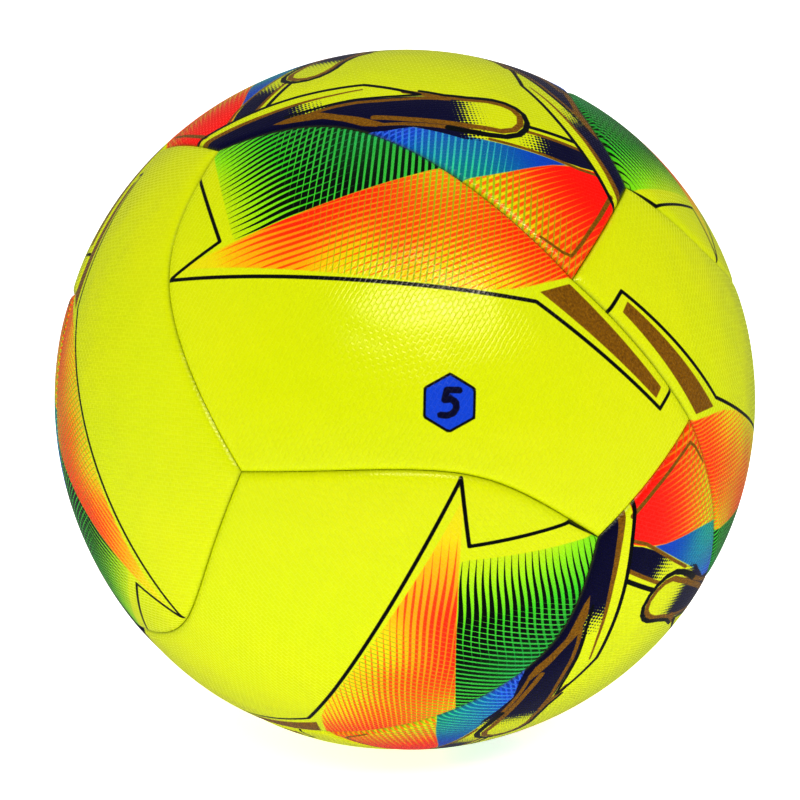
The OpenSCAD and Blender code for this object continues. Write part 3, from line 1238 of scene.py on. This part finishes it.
def deselect_all() -> None:
    """Leave edit mode's and object mode's selection empty."""
    if bpy.context.object and bpy.context.object.mode != "OBJECT":
        bpy.ops.object.mode_set(mode="OBJECT")
    bpy.ops.object.select_all(action="DESELECT")


def select_loop(radius: float, level: float) -> None:
    """Select only the blank's points at one radius and one level, in edit mode.

    Args:
        radius: Distance from the blank's axis.
        level: Height on the blank.
    """
    mesh = bmesh.from_edit_mesh(bpy.context.object.data)
    for vert in mesh.verts:
        reach = math.hypot(vert.co.x, vert.co.y)
        vert.select = abs(reach - radius) < 1e-5 and abs(vert.co.z - level) < 1e-5
    mesh.select_mode = {"VERT"}
    mesh.select_flush_mode()
    for edge in mesh.edges:
        edge.select = edge.verts[0].select and edge.verts[1].select
    bmesh.update_edit_mesh(bpy.context.object.data)


def extrude_rings(radii: list[float], start: float) -> None:
    """Extrude the selected loop through a row of radii.

    Args:
        radii: The radii, in order.
        start: Radius of the selected loop.
    """
    last = start
    for radius in radii:
        bpy.ops.mesh.extrude_edges_move()
        k = radius / last
        bpy.ops.transform.resize(value=(k, k, 1), center_override=(0, 0, 0))
        last = radius


@dataclass(frozen=True)
class Blank:
    """A round flat blank that a panel is shaped from: a disc with a top, a rim and an underside.

    Attributes:
        around: Points round the rim.
        rim: Outer radius, just under 1 so that a seam stays open between panels.
        shoulder: Top radii close to the rim, where the edge rolls over.
        rows: Rows of faces from the shoulder to the middle.
        under: Radii of the underside.
        hole: Radius of the hole in the middle, or 0 for none.
    """

    around: int
    rim: float
    shoulder: tuple[float, ...]
    rows: int
    under: tuple[float, ...]
    hole: float = 0.0

    def make(self, name: str) -> bpy.types.Object:
        """Model the blank.

        Args:
            name: Name of the object.

        Returns:
            The blank, with its top at level 0 and its underside at level -1.
        """
        deselect_all()
        bpy.ops.mesh.primitive_circle_add(
            vertices=self.around, radius=self.rim, fill_type="NOTHING"
        )
        blank = bpy.context.object
        blank.name = name
        bpy.ops.object.mode_set(mode="EDIT")
        bpy.ops.mesh.select_all(action="SELECT")
        last = self.shoulder[-1]
        inner = self.hole or 0.035
        step = (last - inner) / self.rows
        rows = [last - step * (k + 1) for k in range(self.rows)]
        extrude_rings(list(self.shoulder) + rows, self.rim)
        if not self.hole:
            bpy.ops.mesh.merge(type="CENTER")
        select_loop(self.rim, 0.0)
        bpy.ops.mesh.extrude_edges_move(TRANSFORM_OT_translate={"value": (0, 0, -1)})
        under = list(self.under) + [inner]
        extrude_rings(under, self.rim)
        if self.hole:
            select_loop(inner, -1.0)
            bpy.ops.mesh.extrude_edges_move(TRANSFORM_OT_translate={"value": (0, 0, 1)})
            bpy.ops.mesh.select_all(action="SELECT")
            bpy.ops.mesh.remove_doubles(threshold=1e-5)
        else:
            bpy.ops.mesh.merge(type="CENTER")
        bpy.ops.mesh.select_all(action="SELECT")
        bpy.ops.mesh.normals_make_consistent(inside=False)
        bpy.ops.object.mode_set(mode="OBJECT")
        return blank


def rim_points(seams: list[np.ndarray], frame: PanelFrame, around: int) -> np.ndarray:
    """Share a panel's outline out into points, with one on every corner.

    Args:
        seams: The seams round the panel.
        frame: Flat coordinates of the panel.
        around: Number of points.

    Returns:
        Flat coordinates of the points.
    """
    lengths = [np.linalg.norm(np.diff(s, axis=0), axis=1).sum() for s in seams]
    shares = [round(around * length / sum(lengths)) for length in lengths]
    shares[0] += around - sum(shares)
    result = []
    for seam, share in zip(seams, shares):
        run = np.concatenate([[0], np.cumsum(np.linalg.norm(np.diff(seam, axis=0), axis=1))])
        wanted = np.linspace(0, run[-1], share, endpoint=False)
        result.append(np.stack([np.interp(wanted, run, seam[:, k]) for k in range(3)], axis=1))
    return frame.flat(unit(np.concatenate(result)))


@dataclass
class PanelShape:
    """The shape of one kind of panel, which a blank is pressed into.

    Attributes:
        seams: The seams round the panel.
        frame: Flat coordinates of the panel.
        middle: Point that the blank's middle goes to, in flat coordinates.
        groove: Depth of the seam groove at the seam.
        groove_width: Distance over which the edge rolls into the groove.
        crown: How far the edge lies below the middle on an inflated panel.
        crown_width: Distance over which the panel falls towards the seam.
        skin: Thickness of the cover.
        hole_r: Radius of the valve hole, or 0.
        round_to: Ring of the blank out to which the rings round a hole are made round.
        round_spread: Growth of those rings, in millimetres for the whole blank.
    """

    seams: list[np.ndarray]
    frame: PanelFrame
    middle: tuple[float, float] = (0.0, 0.0)
    groove: float = 0.9
    groove_width: float = 0.8
    crown: float = 0.4
    crown_width: float = 9.0
    skin: float = 1.0
    hole_r: float = 0.0
    round_to: float = 0.28
    round_spread: float = 32.0
    _tree: kdtree.KDTree = field(init=False, repr=False)

    def __post_init__(self) -> None:
        """Gather the seams' points, so that distances to them are quick."""
        points = np.concatenate(self.seams) * BALL_R
        self._tree = kdtree.KDTree(len(points))
        for index, point in enumerate(points):
            self._tree.insert(point, index)
        self._tree.balance()

    def seam_distance(self, vectors: np.ndarray) -> np.ndarray:
        """Measure from directions on the ball to the nearest seam, in millimetres."""
        return np.array([self._tree.find(v)[2] for v in vectors * BALL_R])

    def flat_places(self, blank: np.ndarray, around: int) -> np.ndarray:
        """Find where the blank's points go on the panel.

        Args:
            blank: The blank's points.
            around: Points round the blank.

        Returns:
            Flat coordinates.
        """
        rim = rim_points(self.seams, self.frame, around)
        reach = np.hypot(blank[:, 0], blank[:, 1])
        turn = np.arctan2(blank[:, 1], blank[:, 0]) / (2 * math.pi) * around
        index = np.round(turn).astype(int) % around
        middle = np.array(self.middle)
        return middle + reach[:, None] * (rim[index] - middle)

    def round_middle(self, flat: np.ndarray, blank: np.ndarray, hole_r: float) -> np.ndarray:
        """Make the innermost rings round, so that the smallest is the edge of a hole.

        Args:
            flat: Flat coordinates of the points.
            blank: The blank's points.
            hole_r: Radius of the hole.

        Returns:
            The flat coordinates, changed near the middle.
        """
        ring = np.hypot(blank[:, 0], blank[:, 1])
        first = ring.min()
        share = np.clip((self.round_to - ring) / (self.round_to - first), 0, 1)[:, None]
        share = share * share * (3 - 2 * share)
        away = flat / np.linalg.norm(flat, axis=1)[:, None]
        rounded = away * (hole_r + (ring - first)[:, None] * self.round_spread)
        return flat * (1 - share) + rounded * share

    def top_radius(self, distance: np.ndarray) -> np.ndarray:
        """Give the outer radius of the cover at a distance from its seam."""
        roll = self.groove * np.exp(-((distance / self.groove_width) ** 1.25))
        fall = self.crown * np.exp(-distance / self.crown_width)
        return BALL_R - roll - fall

    def press_cover(self, piece: bpy.types.Object, around: int) -> None:
        """Press a blank into the cover skin.

        Args:
            piece: The blank.
            around: Points round the blank.
        """
        blank = read_points(piece.data)
        flat = self.flat_places(blank, around)
        if self.hole_r:
            flat = self.round_middle(flat, blank, self.hole_r)
        radius = np.where(blank[:, 2] < -0.5, BALL_R - 4 * self.skin, BALL_R)
        write_points(piece.data, self.frame.wrapped(flat) * radius[:, None] * MM)

    def settle_cover(self, piece: bpy.types.Object) -> dict[str, np.ndarray]:
        """Bring every point of a pressed cover to its height, also after a finer cut.

        Args:
            piece: The pressed cover.

        Returns:
            Flat coordinates, seam distance and level of each point.
        """
        points = read_points(piece.data) / MM
        vectors = unit(points)
        flat = self.frame.flat(vectors)
        distance = self.seam_distance(vectors)
        top = self.top_radius(distance)
        if self.hole_r:
            edge = np.linalg.norm(flat, axis=1) - self.hole_r
            top = top - 0.45 * np.exp(-((edge / 0.5) ** 2))
        below = np.linalg.norm(points, axis=1) < top - self.skin / 2
        radius = np.where(below, top - self.skin, top)
        write_points(piece.data, vectors * radius[:, None] * MM)
        return {"flat": flat, "distance": distance, "level": np.where(below, -1.0, 0.0)}

    def press_foam(self, piece: bpy.types.Object, around: int, hole_r: float) -> None:
        """Press a blank into the foam under the cover.

        Args:
            piece: The blank.
            around: Points round the blank.
            hole_r: Radius of the hole round the valve, or 0.
        """
        blank = read_points(piece.data)
        flat = self.flat_places(blank, around)
        if hole_r:
            flat = self.round_middle(flat, blank, hole_r)
        vectors = self.frame.wrapped(flat)
        top = self.top_radius(self.seam_distance(vectors)) - self.skin - 0.03
        radius = np.where(blank[:, 2] < -0.5, FOAM_IN_R + 0.01, top)
        write_points(piece.data, vectors * radius[:, None] * MM)


def read_points(mesh: bpy.types.Mesh) -> np.ndarray:
    """Read a mesh's points."""
    points = np.empty(len(mesh.vertices) * 3)
    mesh.vertices.foreach_get("co", points)
    return points.reshape(-1, 3)


def write_points(mesh: bpy.types.Mesh, points: np.ndarray) -> None:
    """Write a mesh's points."""
    mesh.vertices.foreach_set("co", points.astype(np.float32).ravel())
    mesh.update()


def write_field(mesh: bpy.types.Mesh, name: str, values: np.ndarray) -> None:
    """Keep a vector for each point of a mesh, for its material."""
    attribute = mesh.attributes.new(name, "FLOAT_VECTOR", "POINT")
    attribute.data.foreach_set("vector", values.astype(np.float32).ravel())


# ---- sub-assemblies ----


class PanelKind(Enum):
    """The two kinds of panel, by the first part of their nodes' names."""

    FIVE_SIDE = "five_side"
    SIX_SIDE = "six_side"


@dataclass
class PanelSet:
    """All panels of one kind: covers and foam.

    Attributes:
        kind: Kind of panel.
        seams: The layout's seams.
        cover_material: Material of the printed skin.
        backing_material: Material of the skin's cut edge and underside.
        foam_material: Material of the foam.
        around: Points round a cover.
        rows: Rows of faces across a cover.
    """

    kind: PanelKind
    seams: Seams
    cover_material: bpy.types.Material
    backing_material: bpy.types.Material
    foam_material: bpy.types.Material
    around: int = 300
    rows: int = 50
    valve_hole_r: float = 3.3
    foam_hole_r: float = 5.6
    rim: float = 0.9988
    shoulder: tuple[float, ...] = (0.995, 0.99, 0.983, 0.974, 0.963, 0.95)
    refine_mm: tuple[float, ...] = (1.4, 0.4)

    def shape(self) -> PanelShape:
        """Give the shape of this kind of panel."""
        if self.kind is PanelKind.FIVE_SIDE:
            return PanelShape(
                self.seams.five_side(), self.seams.five_frame(), middle=(-13.0, 16.0)
            )
        return PanelShape(self.seams.six_side(), self.seams.six_frame())

    def artwork(self) -> Artwork:
        """Give the print of this kind of panel."""
        return FIVE_ARTWORK if self.kind is PanelKind.FIVE_SIDE else SIX_ARTWORK

    def places(self) -> list[Matrix]:
        """List the turns that carry the first panel to each place."""
        if self.kind is PanelKind.FIVE_SIDE:
            return [self.seams.place(k // 3, k % 3) for k in range(12)]
        return [self.seams.place(half, 0) for half in range(4)]

    def make_cover(self, name: str, hole_r: float = 0.0) -> bpy.types.Object:
        """Model and print one cover in the first place.

        Args:
            name: Name of the piece.
            hole_r: Radius of the valve hole, or 0.

        Returns:
            The cover.
        """
        shape = self.shape()
        shape.hole_r = hole_r
        blank = Blank(
            self.around, self.rim, self.shoulder, self.rows,
            under=(0.96, 0.88, 0.72, 0.5, 0.25), hole=0.06 if hole_r else 0.0,
        )
        cover = blank.make(name)
        shape.press_cover(cover, self.around)
        for reach in self.refine_mm:
            self.refine(cover, shape, reach)
        pressed = shape.settle_cover(cover)
        mesh = cover.data
        for key, values in self.artwork().fields(pressed["flat"]).items():
            write_field(mesh, key, values)
        mark = SizeMark().field(pressed["flat"])
        if self.kind is not PanelKind.FIVE_SIDE:
            mark[:] = 0.0
        write_field(mesh, "size_mark", mark)
        place = np.concatenate([pressed["flat"], pressed["distance"][:, None]], axis=1)
        write_field(mesh, "panel_mm", place)
        mesh.materials.append(self.cover_material)
        mesh.materials.append(self.backing_material)
        level = pressed["level"]
        corner_level = np.array([max(level[v] for v in p.vertices) for p in mesh.polygons])
        mesh.polygons.foreach_set("material_index", (corner_level < -0.5).astype(np.int32))
        return cover

    def refine(self, cover: bpy.types.Object, shape: PanelShape, reach: float) -> None:
        """Cut the faces near the edges of the solid inks finer, so that the edges stay crisp.

        Args:
            cover: The cover.
            shape: Its shape.
            reach: Distance from an ink's edge that is cut, in millimetres.
        """
        pressed = shape.settle_cover(cover)
        inks = self.artwork().fields(pressed["flat"])["ink_edges"]
        near = (np.abs(inks).min(axis=1) < reach) & (pressed["level"] > -0.5)
        deselect_all()
        cover.select_set(True)
        bpy.context.view_layer.objects.active = cover
        bpy.ops.object.mode_set(mode="EDIT")
        bpy.ops.mesh.select_all(action="DESELECT")
        mesh = bmesh.from_edit_mesh(cover.data)
        mesh.select_mode = {"FACE"}
        for face in mesh.faces:
            corners = [v.index for v in face.verts]
            top = all(pressed["level"][i] > -0.5 for i in corners)
            face.select = top and any(near[i] for i in corners)
        mesh.select_flush_mode()
        bmesh.update_edit_mesh(cover.data)
        bpy.ops.mesh.subdivide(number_cuts=1)
        bpy.ops.object.mode_set(mode="OBJECT")

    def make_foam(self, name: str, hole_r: float = 0.0) -> bpy.types.Object:
        """Model one foam piece in the first place."""
        around = self.around // 2
        blank = Blank(
            around, self.rim, (0.985, 0.965, 0.94), 14,
            under=(0.9, 0.6, 0.3), hole=0.09 if hole_r else 0.0,
        )
        foam = blank.make(name)
        self.shape().press_foam(foam, around, hole_r)
        foam.data.materials.append(self.foam_material)
        return foam

    def copy_to(self, first: bpy.types.Object, name: str, turn: Matrix) -> bpy.types.Object:
        """Copy a piece with its own mesh and turn the mesh into place."""
        copy = first.copy()
        copy.data = first.data.copy()
        copy.name = copy.data.name = name
        bpy.context.scene.collection.objects.link(copy)
        copy.data.transform(turn)
        return copy

    def build(self) -> None:
        """Build every cover and foam piece of this kind and set it on its node."""
        kind = self.kind.value
        makers = {"cover": self.make_cover, "foam": self.make_foam}
        holes = {"cover": self.valve_hole_r, "foam": self.foam_hole_r}
        for layer, make in makers.items():
            first = make(f"{kind}_{layer}_form")
            for number, turn in enumerate(self.places(), start=1):
                name = f"{kind}_{layer}_{number}"
                if self.kind is PanelKind.SIX_SIDE and number == 1:
                    piece = make(name + "_piece", holes[layer])
                else:
                    piece = self.copy_to(first, name + "_piece", turn)
                if layer == "cover" and number > 1 and self.kind is PanelKind.FIVE_SIDE:
                    values = np.zeros((len(piece.data.vertices), 3))
                    piece.data.attributes["size_mark"].data.foreach_set(
                        "vector", values.astype(np.float32).ravel()
                    )
                self.finish(piece, name, f"{kind}_cover" if layer == "cover" else "foam")
            bpy.data.objects.remove(first)

    def finish(self, piece: bpy.types.Object, node: str, slot: str) -> None:
        """Smooth a piece and set it on its node."""
        deselect_all()
        piece.select_set(True)
        bpy.context.view_layer.objects.active = piece
        bpy.ops.object.shade_smooth_by_angle(angle=math.radians(50))
        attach(piece, "root")
        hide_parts(node)
        LOG.info("%s: %d faces", piece.name, len(piece.data.polygons))


@dataclass
class Valve:
    """The moulded housing and the core that the inflating needle goes through.

    Attributes:
        housing_material: Material of the housing.
        core_material: Material of the core.
        sides: Points round each piece.
    """

    housing_material: bpy.types.Material
    core_material: bpy.types.Material
    sides: int = 64
    # Profiles as radius and height along +Y, from the inner edge round to the start.
    housing_profile: Points = (
        (2.6, 92.5), (2.6, 107.5), (1.6, 107.5), (1.6, 108.9), (1.85, 109.25), (2.6, 109.3),
        (3.0, 109.2), (3.2, 108.9), (3.2, 108.7), (5.1, 108.7), (5.5, 108.3), (5.5, 97.0),
        (5.2, 96.4), (5.2, 95.8), (5.5, 95.2), (5.5, 91.2), (4.9, 90.5), (0.3, 90.5),
    )
    core_profile: Points = (
        (1.1, 107.5), (1.1, 94.5), (0.4, 94.5),
    )

    def lathe(self, name: str, profile: Points) -> bpy.types.Object:
        """Turn a profile into a piece on the valve axis.

        Args:
            name: Name of the piece.
            profile: Radius and height of each ring, in order.

        Returns:
            The piece, standing along +Y.
        """
        deselect_all()
        first_r, first_y = profile[0]
        bpy.ops.mesh.primitive_circle_add(
            vertices=self.sides, radius=first_r * MM, fill_type="NOTHING",
            location=(0, first_y * MM, 0), rotation=(-math.pi / 2, 0, 0),
        )
        piece = bpy.context.object
        piece.name = name
        bpy.ops.object.transform_apply(location=True, rotation=True, scale=True)
        bpy.ops.object.mode_set(mode="EDIT")
        bpy.ops.mesh.select_all(action="SELECT")
        last_r, last_y = first_r, first_y
        for radius, height in profile[1:]:
            rise = (height - last_y) * MM
            bpy.ops.mesh.extrude_edges_move(TRANSFORM_OT_translate={"value": (0, rise, 0)})
            k = radius / last_r
            bpy.ops.transform.resize(value=(k, 1, k), center_override=(0, height * MM, 0))
            last_r, last_y = radius, height
        return piece

    def build(self) -> None:
        """Build the housing and the core."""
        housing = self.lathe("valve_housing_piece", self.housing_profile)
        bpy.ops.mesh.merge(type="CENTER")
        self.close_cup(self.housing_profile[0])
        self.finish(housing, "valve_housing", "valve_rubber", self.housing_material)
        core = self.lathe(
            "valve_core_piece",
            (
                (1.1, 107.35), (1.1, 94.5), (0.3, 94.5),
            ),
        )
        bpy.ops.mesh.merge(type="CENTER")
        self.wrap_core()
        self.finish(core, "valve_core", "valve_core", self.core_material)

    def close_cup(self, start: tuple[float, float]) -> None:
        """Close the floor of the cup that the core sits in."""
        radius, height = start
        self.select_ring(radius, height)
        bpy.ops.mesh.extrude_edges_move()
        bpy.ops.mesh.merge(type="CENTER")

    def wrap_core(self) -> None:
        """Carry the core's mouth out and down round its outside and close its foot."""
        self.select_ring(1.1, 107.35)
        last_r, last_y = 1.1, 107.35
        for radius, height in ((1.35, 107.5), (2.58, 107.5), (2.58, 92.5), (0.3, 92.5)):
            rise = (height - last_y) * MM
            bpy.ops.mesh.extrude_edges_move(TRANSFORM_OT_translate={"value": (0, rise, 0)})
            k = radius / last_r
            bpy.ops.transform.resize(value=(k, 1, k), center_override=(0, height * MM, 0))
            last_r, last_y = radius, height
        bpy.ops.mesh.merge(type="CENTER")

    def select_ring(self, radius: float, height: float) -> None:
        """Select one ring of a turned piece, in edit mode."""
        mesh = bmesh.from_edit_mesh(bpy.context.object.data)
        for vert in mesh.verts:
            reach = math.hypot(vert.co.x, vert.co.z)
            near = abs(reach - radius * MM) < 1e-6 and abs(vert.co.y - height * MM) < 1e-6
            vert.select = near
        mesh.select_mode = {"VERT"}
        mesh.select_flush_mode()
        for edge in mesh.edges:
            edge.select = edge.verts[0].select and edge.verts[1].select
        bmesh.update_edit_mesh(bpy.context.object.data)

    def finish(
        self, piece: bpy.types.Object, node: str, slot: str, material: bpy.types.Material
    ) -> None:
        """Make the piece whole, dress it and set it on its node."""
        bpy.ops.mesh.select_all(action="SELECT")
        bpy.ops.mesh.remove_doubles(threshold=1e-7)
        bpy.ops.mesh.normals_make_consistent(inside=False)
        bpy.ops.object.mode_set(mode="OBJECT")
        bpy.ops.object.shade_smooth_by_angle(angle=math.radians(35))
        piece.data.materials.append(material)
        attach(piece, "root")
        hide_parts(node)
        LOG.info("%s: %d faces", piece.name, len(piece.data.polygons))


@dataclass
class Carcass:
    """What lies under the covers as designed: lining, thread, bladder and patches.

    Attributes:
        nodes: The loaded nodes by name.
        finishes: Material for the nodes whose names start with each key.
    """

    nodes: dict
    finishes: dict[str, bpy.types.Material]

    def build(self) -> None:
        """Dress every node that keeps its own mesh."""
        for name, node in self.nodes.items():
            for start, material in self.finishes.items():
                if name.startswith(start):
                    self.dress(node, material)

    def dress(self, node: bpy.types.Object, material: bpy.types.Material) -> None:
        """Give a node's mesh one material."""
        if not node.material_slots:
            node.data.materials.append(material)
        for slot in node.material_slots:
            slot.material = material
        LOG.info("%s: %s", node.name, material.name)


@dataclass
class Studio:
    """Floor, lights and camera.

    Attributes:
        floor_z: Height of the floor.
        camera_at: Place of the camera.
        lens: Focal length on a 36 mm sensor.
    """

    floor_z: float = -0.11
    camera_at: tuple[float, float, float] = (0.11785, -0.31491, 0.05607)
    lens: float = 46.29
    shift_x: float = -0.00575
    half_width: float = 2.4
    sweep_start: float = 1.2
    sweep_r: float = 0.8
    wall_h: float = 1.6
    sweep_steps: int = 12

    def build(self) -> None:
        """Set the floor, the lights and the camera."""
        self.add_floor()
        self.add_lights()
        self.add_camera()
        scene = bpy.context.scene
        scene.view_settings.view_transform = "Standard"
        scene.view_settings.look = "High Contrast"

    def add_floor(self) -> None:
        """Model a floor that sweeps up into a backdrop behind the ball."""
        nodes = Nodes("matt_white_paper")
        place = nodes.add("TexCoord").outputs["Object"]
        cloud = nodes.add("TexNoise", Vector=place, Scale=4.0, Detail=3.0)
        colour = nodes.add(
            "MixRGB", None, Fac=cloud.outputs[0],
            Color1=linear("#FAFAFA"), Color2=linear("#FFFFFF"),
        )
        shader = nodes.add(
            "BsdfPrincipled", Base_Color=colour.outputs[0], Roughness=0.9,
            Specular_IOR_Level=0.1, Emission_Color=linear("#FFFFFF"), Emission_Strength=0.52,
        )
        material = nodes.finish(shader)
        deselect_all()
        bpy.ops.mesh.primitive_plane_add(size=2, location=(0, 0, 0))
        floor = bpy.context.object
        floor.name = "studio_floor"
        bpy.ops.transform.resize(value=(self.half_width, self.half_width, 1))
        bpy.ops.object.transform_apply(location=True, rotation=True, scale=True)
        bpy.ops.object.mode_set(mode="EDIT")
        mesh = bmesh.from_edit_mesh(floor.data)
        for vert in mesh.verts:
            vert.co.z = self.floor_z
            vert.select = vert.co.y > 0
            if vert.co.y > 0:
                vert.co.y = self.sweep_start
        mesh.select_mode = {"EDGE"}
        for edge in mesh.edges:
            edge.select = edge.verts[0].co.y > 0 and edge.verts[1].co.y > 0
        bmesh.update_edit_mesh(floor.data)
        last = (self.sweep_start, self.floor_z)
        for k in range(1, self.sweep_steps + 1):
            a = math.pi / 2 * k / self.sweep_steps
            y = self.sweep_start + self.sweep_r * math.sin(a)
            z = self.floor_z + self.sweep_r * (1 - math.cos(a))
            step = (0, y - last[0], z - last[1])
            bpy.ops.mesh.extrude_edges_move(TRANSFORM_OT_translate={"value": step})
            last = (y, z)
        bpy.ops.mesh.extrude_edges_move(TRANSFORM_OT_translate={"value": (0, 0, self.wall_h)})
        bpy.ops.mesh.select_all(action="SELECT")
        bpy.ops.mesh.normals_make_consistent(inside=False)
        bpy.ops.object.mode_set(mode="OBJECT")
        bpy.ops.object.shade_smooth()
        turn = Matrix.Rotation(math.atan2(self.camera_at[0], -self.camera_at[1]), 4, "Z")
        floor.data.transform(turn)
        floor.data.materials.append(material)
        floor.visible_glossy = False

    def add_lights(self) -> None:
        """Add the even light of the room and the softboxes."""
        world = bpy.data.worlds.new("studio_room")
        world.use_nodes = True
        back = world.node_tree.nodes["Background"]
        back.inputs["Color"].default_value = linear("#FFFFFF")
        back.inputs["Strength"].default_value = 0.16
        bpy.context.scene.world = world
        view = Vector(self.camera_at).normalized()
        side = Vector((0, 0, 1)).cross(view).normalized()
        up = view.cross(side)
        # Key box above the camera, whose reflection is the broad highlight.
        self.add_box("key_box", view * 1.07 + up * 0.53 + side * 0.15, 0.62, 0.12, 3.8)
        self.add_box("left_box", (view * 0.4 - side * 1.1 + up * 0.35), 0.9, 0.9, 2.4)
        self.add_box("right_box", (view * 0.4 + side * 1.1 + up * 0.35), 0.9, 0.9, 1.5)
        self.add_box("top_box", (up * 1.4 + view * 0.1), 1.0, 1.0, 7.0)

    def add_box(self, name: str, at: Vector, width: float, height: float, watts: float) -> None:
        """Add a softbox that faces the ball.

        Args:
            name: Name of the light.
            at: Its place.
            width: Its width.
            height: Its height.
            watts: Its power.
        """
        light = bpy.data.lights.new(name, "AREA")
        light.shape = "RECTANGLE"
        light.size, light.size_y = width, height
        light.energy = watts
        box = bpy.data.objects.new(name, light)
        box.location = at
        box.rotation_euler = (-at).to_track_quat("-Z", "Y").to_euler()
        light.color = linear("#FFF6E0")[:3] if name == "key_box" else (1.0, 1.0, 1.0)
        # The fill boxes light the ball without a reflection of their own.
        box.visible_glossy = name == "key_box"
        bpy.context.scene.collection.objects.link(box)

    def add_camera(self) -> None:
        """Add the camera, level and aimed at the middle of the ball."""
        data = bpy.data.cameras.new("studio_camera")
        data.lens, data.sensor_width = self.lens, 36.0
        data.shift_x = self.shift_x
        camera = bpy.data.objects.new("studio_camera", data)
        camera.location = self.camera_at
        aim = -Vector(self.camera_at)
        camera.rotation_euler = aim.to_track_quat("-Z", "Y").to_euler()
        bpy.context.scene.collection.objects.link(camera)
        bpy.context.scene.camera = camera


def main() -> None:
    """Build the ball and the studio."""
    logging.basicConfig(level=logging.INFO, format="%(name)s %(message)s")
    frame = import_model()
    Studio().build()
    seams = Seams()
    cover = PrintedPolyurethane().make()
    # The third colour of each cloth is painted shade in the hollows of its weave.
    backing = WovenCloth("cover_backing_knit", "#E4E0D0", "#B8B29C", 0.6).make()
    foam = CellFoam().make()
    for kind in PanelKind:
        PanelSet(kind, seams, cover, backing, foam).build()
    Valve(
        VulcanisedRubber("butyl_valve_rubber", "#0E0E0F", "#232326", 0.42).make(),
        VulcanisedRubber("natural_rubber_core", "#2E2C2A", "#4A4642", 0.5).make(),
    ).build()
    # Its third colour is painted shade in the hollows of the weave.
    lining = WovenCloth("polyester_cotton_lining", "#E8E4D6", "#B4AE9C").make()
    rubber = VulcanisedRubber("butyl_rubber", "#161617", "#2A2A2C", 0.48).make()
    Carcass(
        frame["nodes"],
        {
            "five_side_lining": lining,
            "six_side_lining": lining,
            "thread": TwistedPolyester().make(),
            "bladder": rubber,
            "valve_flange": rubber,
            # Its third colour is painted shade in the hollows of the weave.
            "valve_patch": WovenCloth("valve_patch_cloth", "#DAD4C0", "#A29A84", 1.1).make(),
            "balance_patch": VulcanisedRubber("balance_rubber", "#1E1D1C", "#34302E", 0.55).make(),
        },
    ).build()


if __name__ == "__main__":
    main()
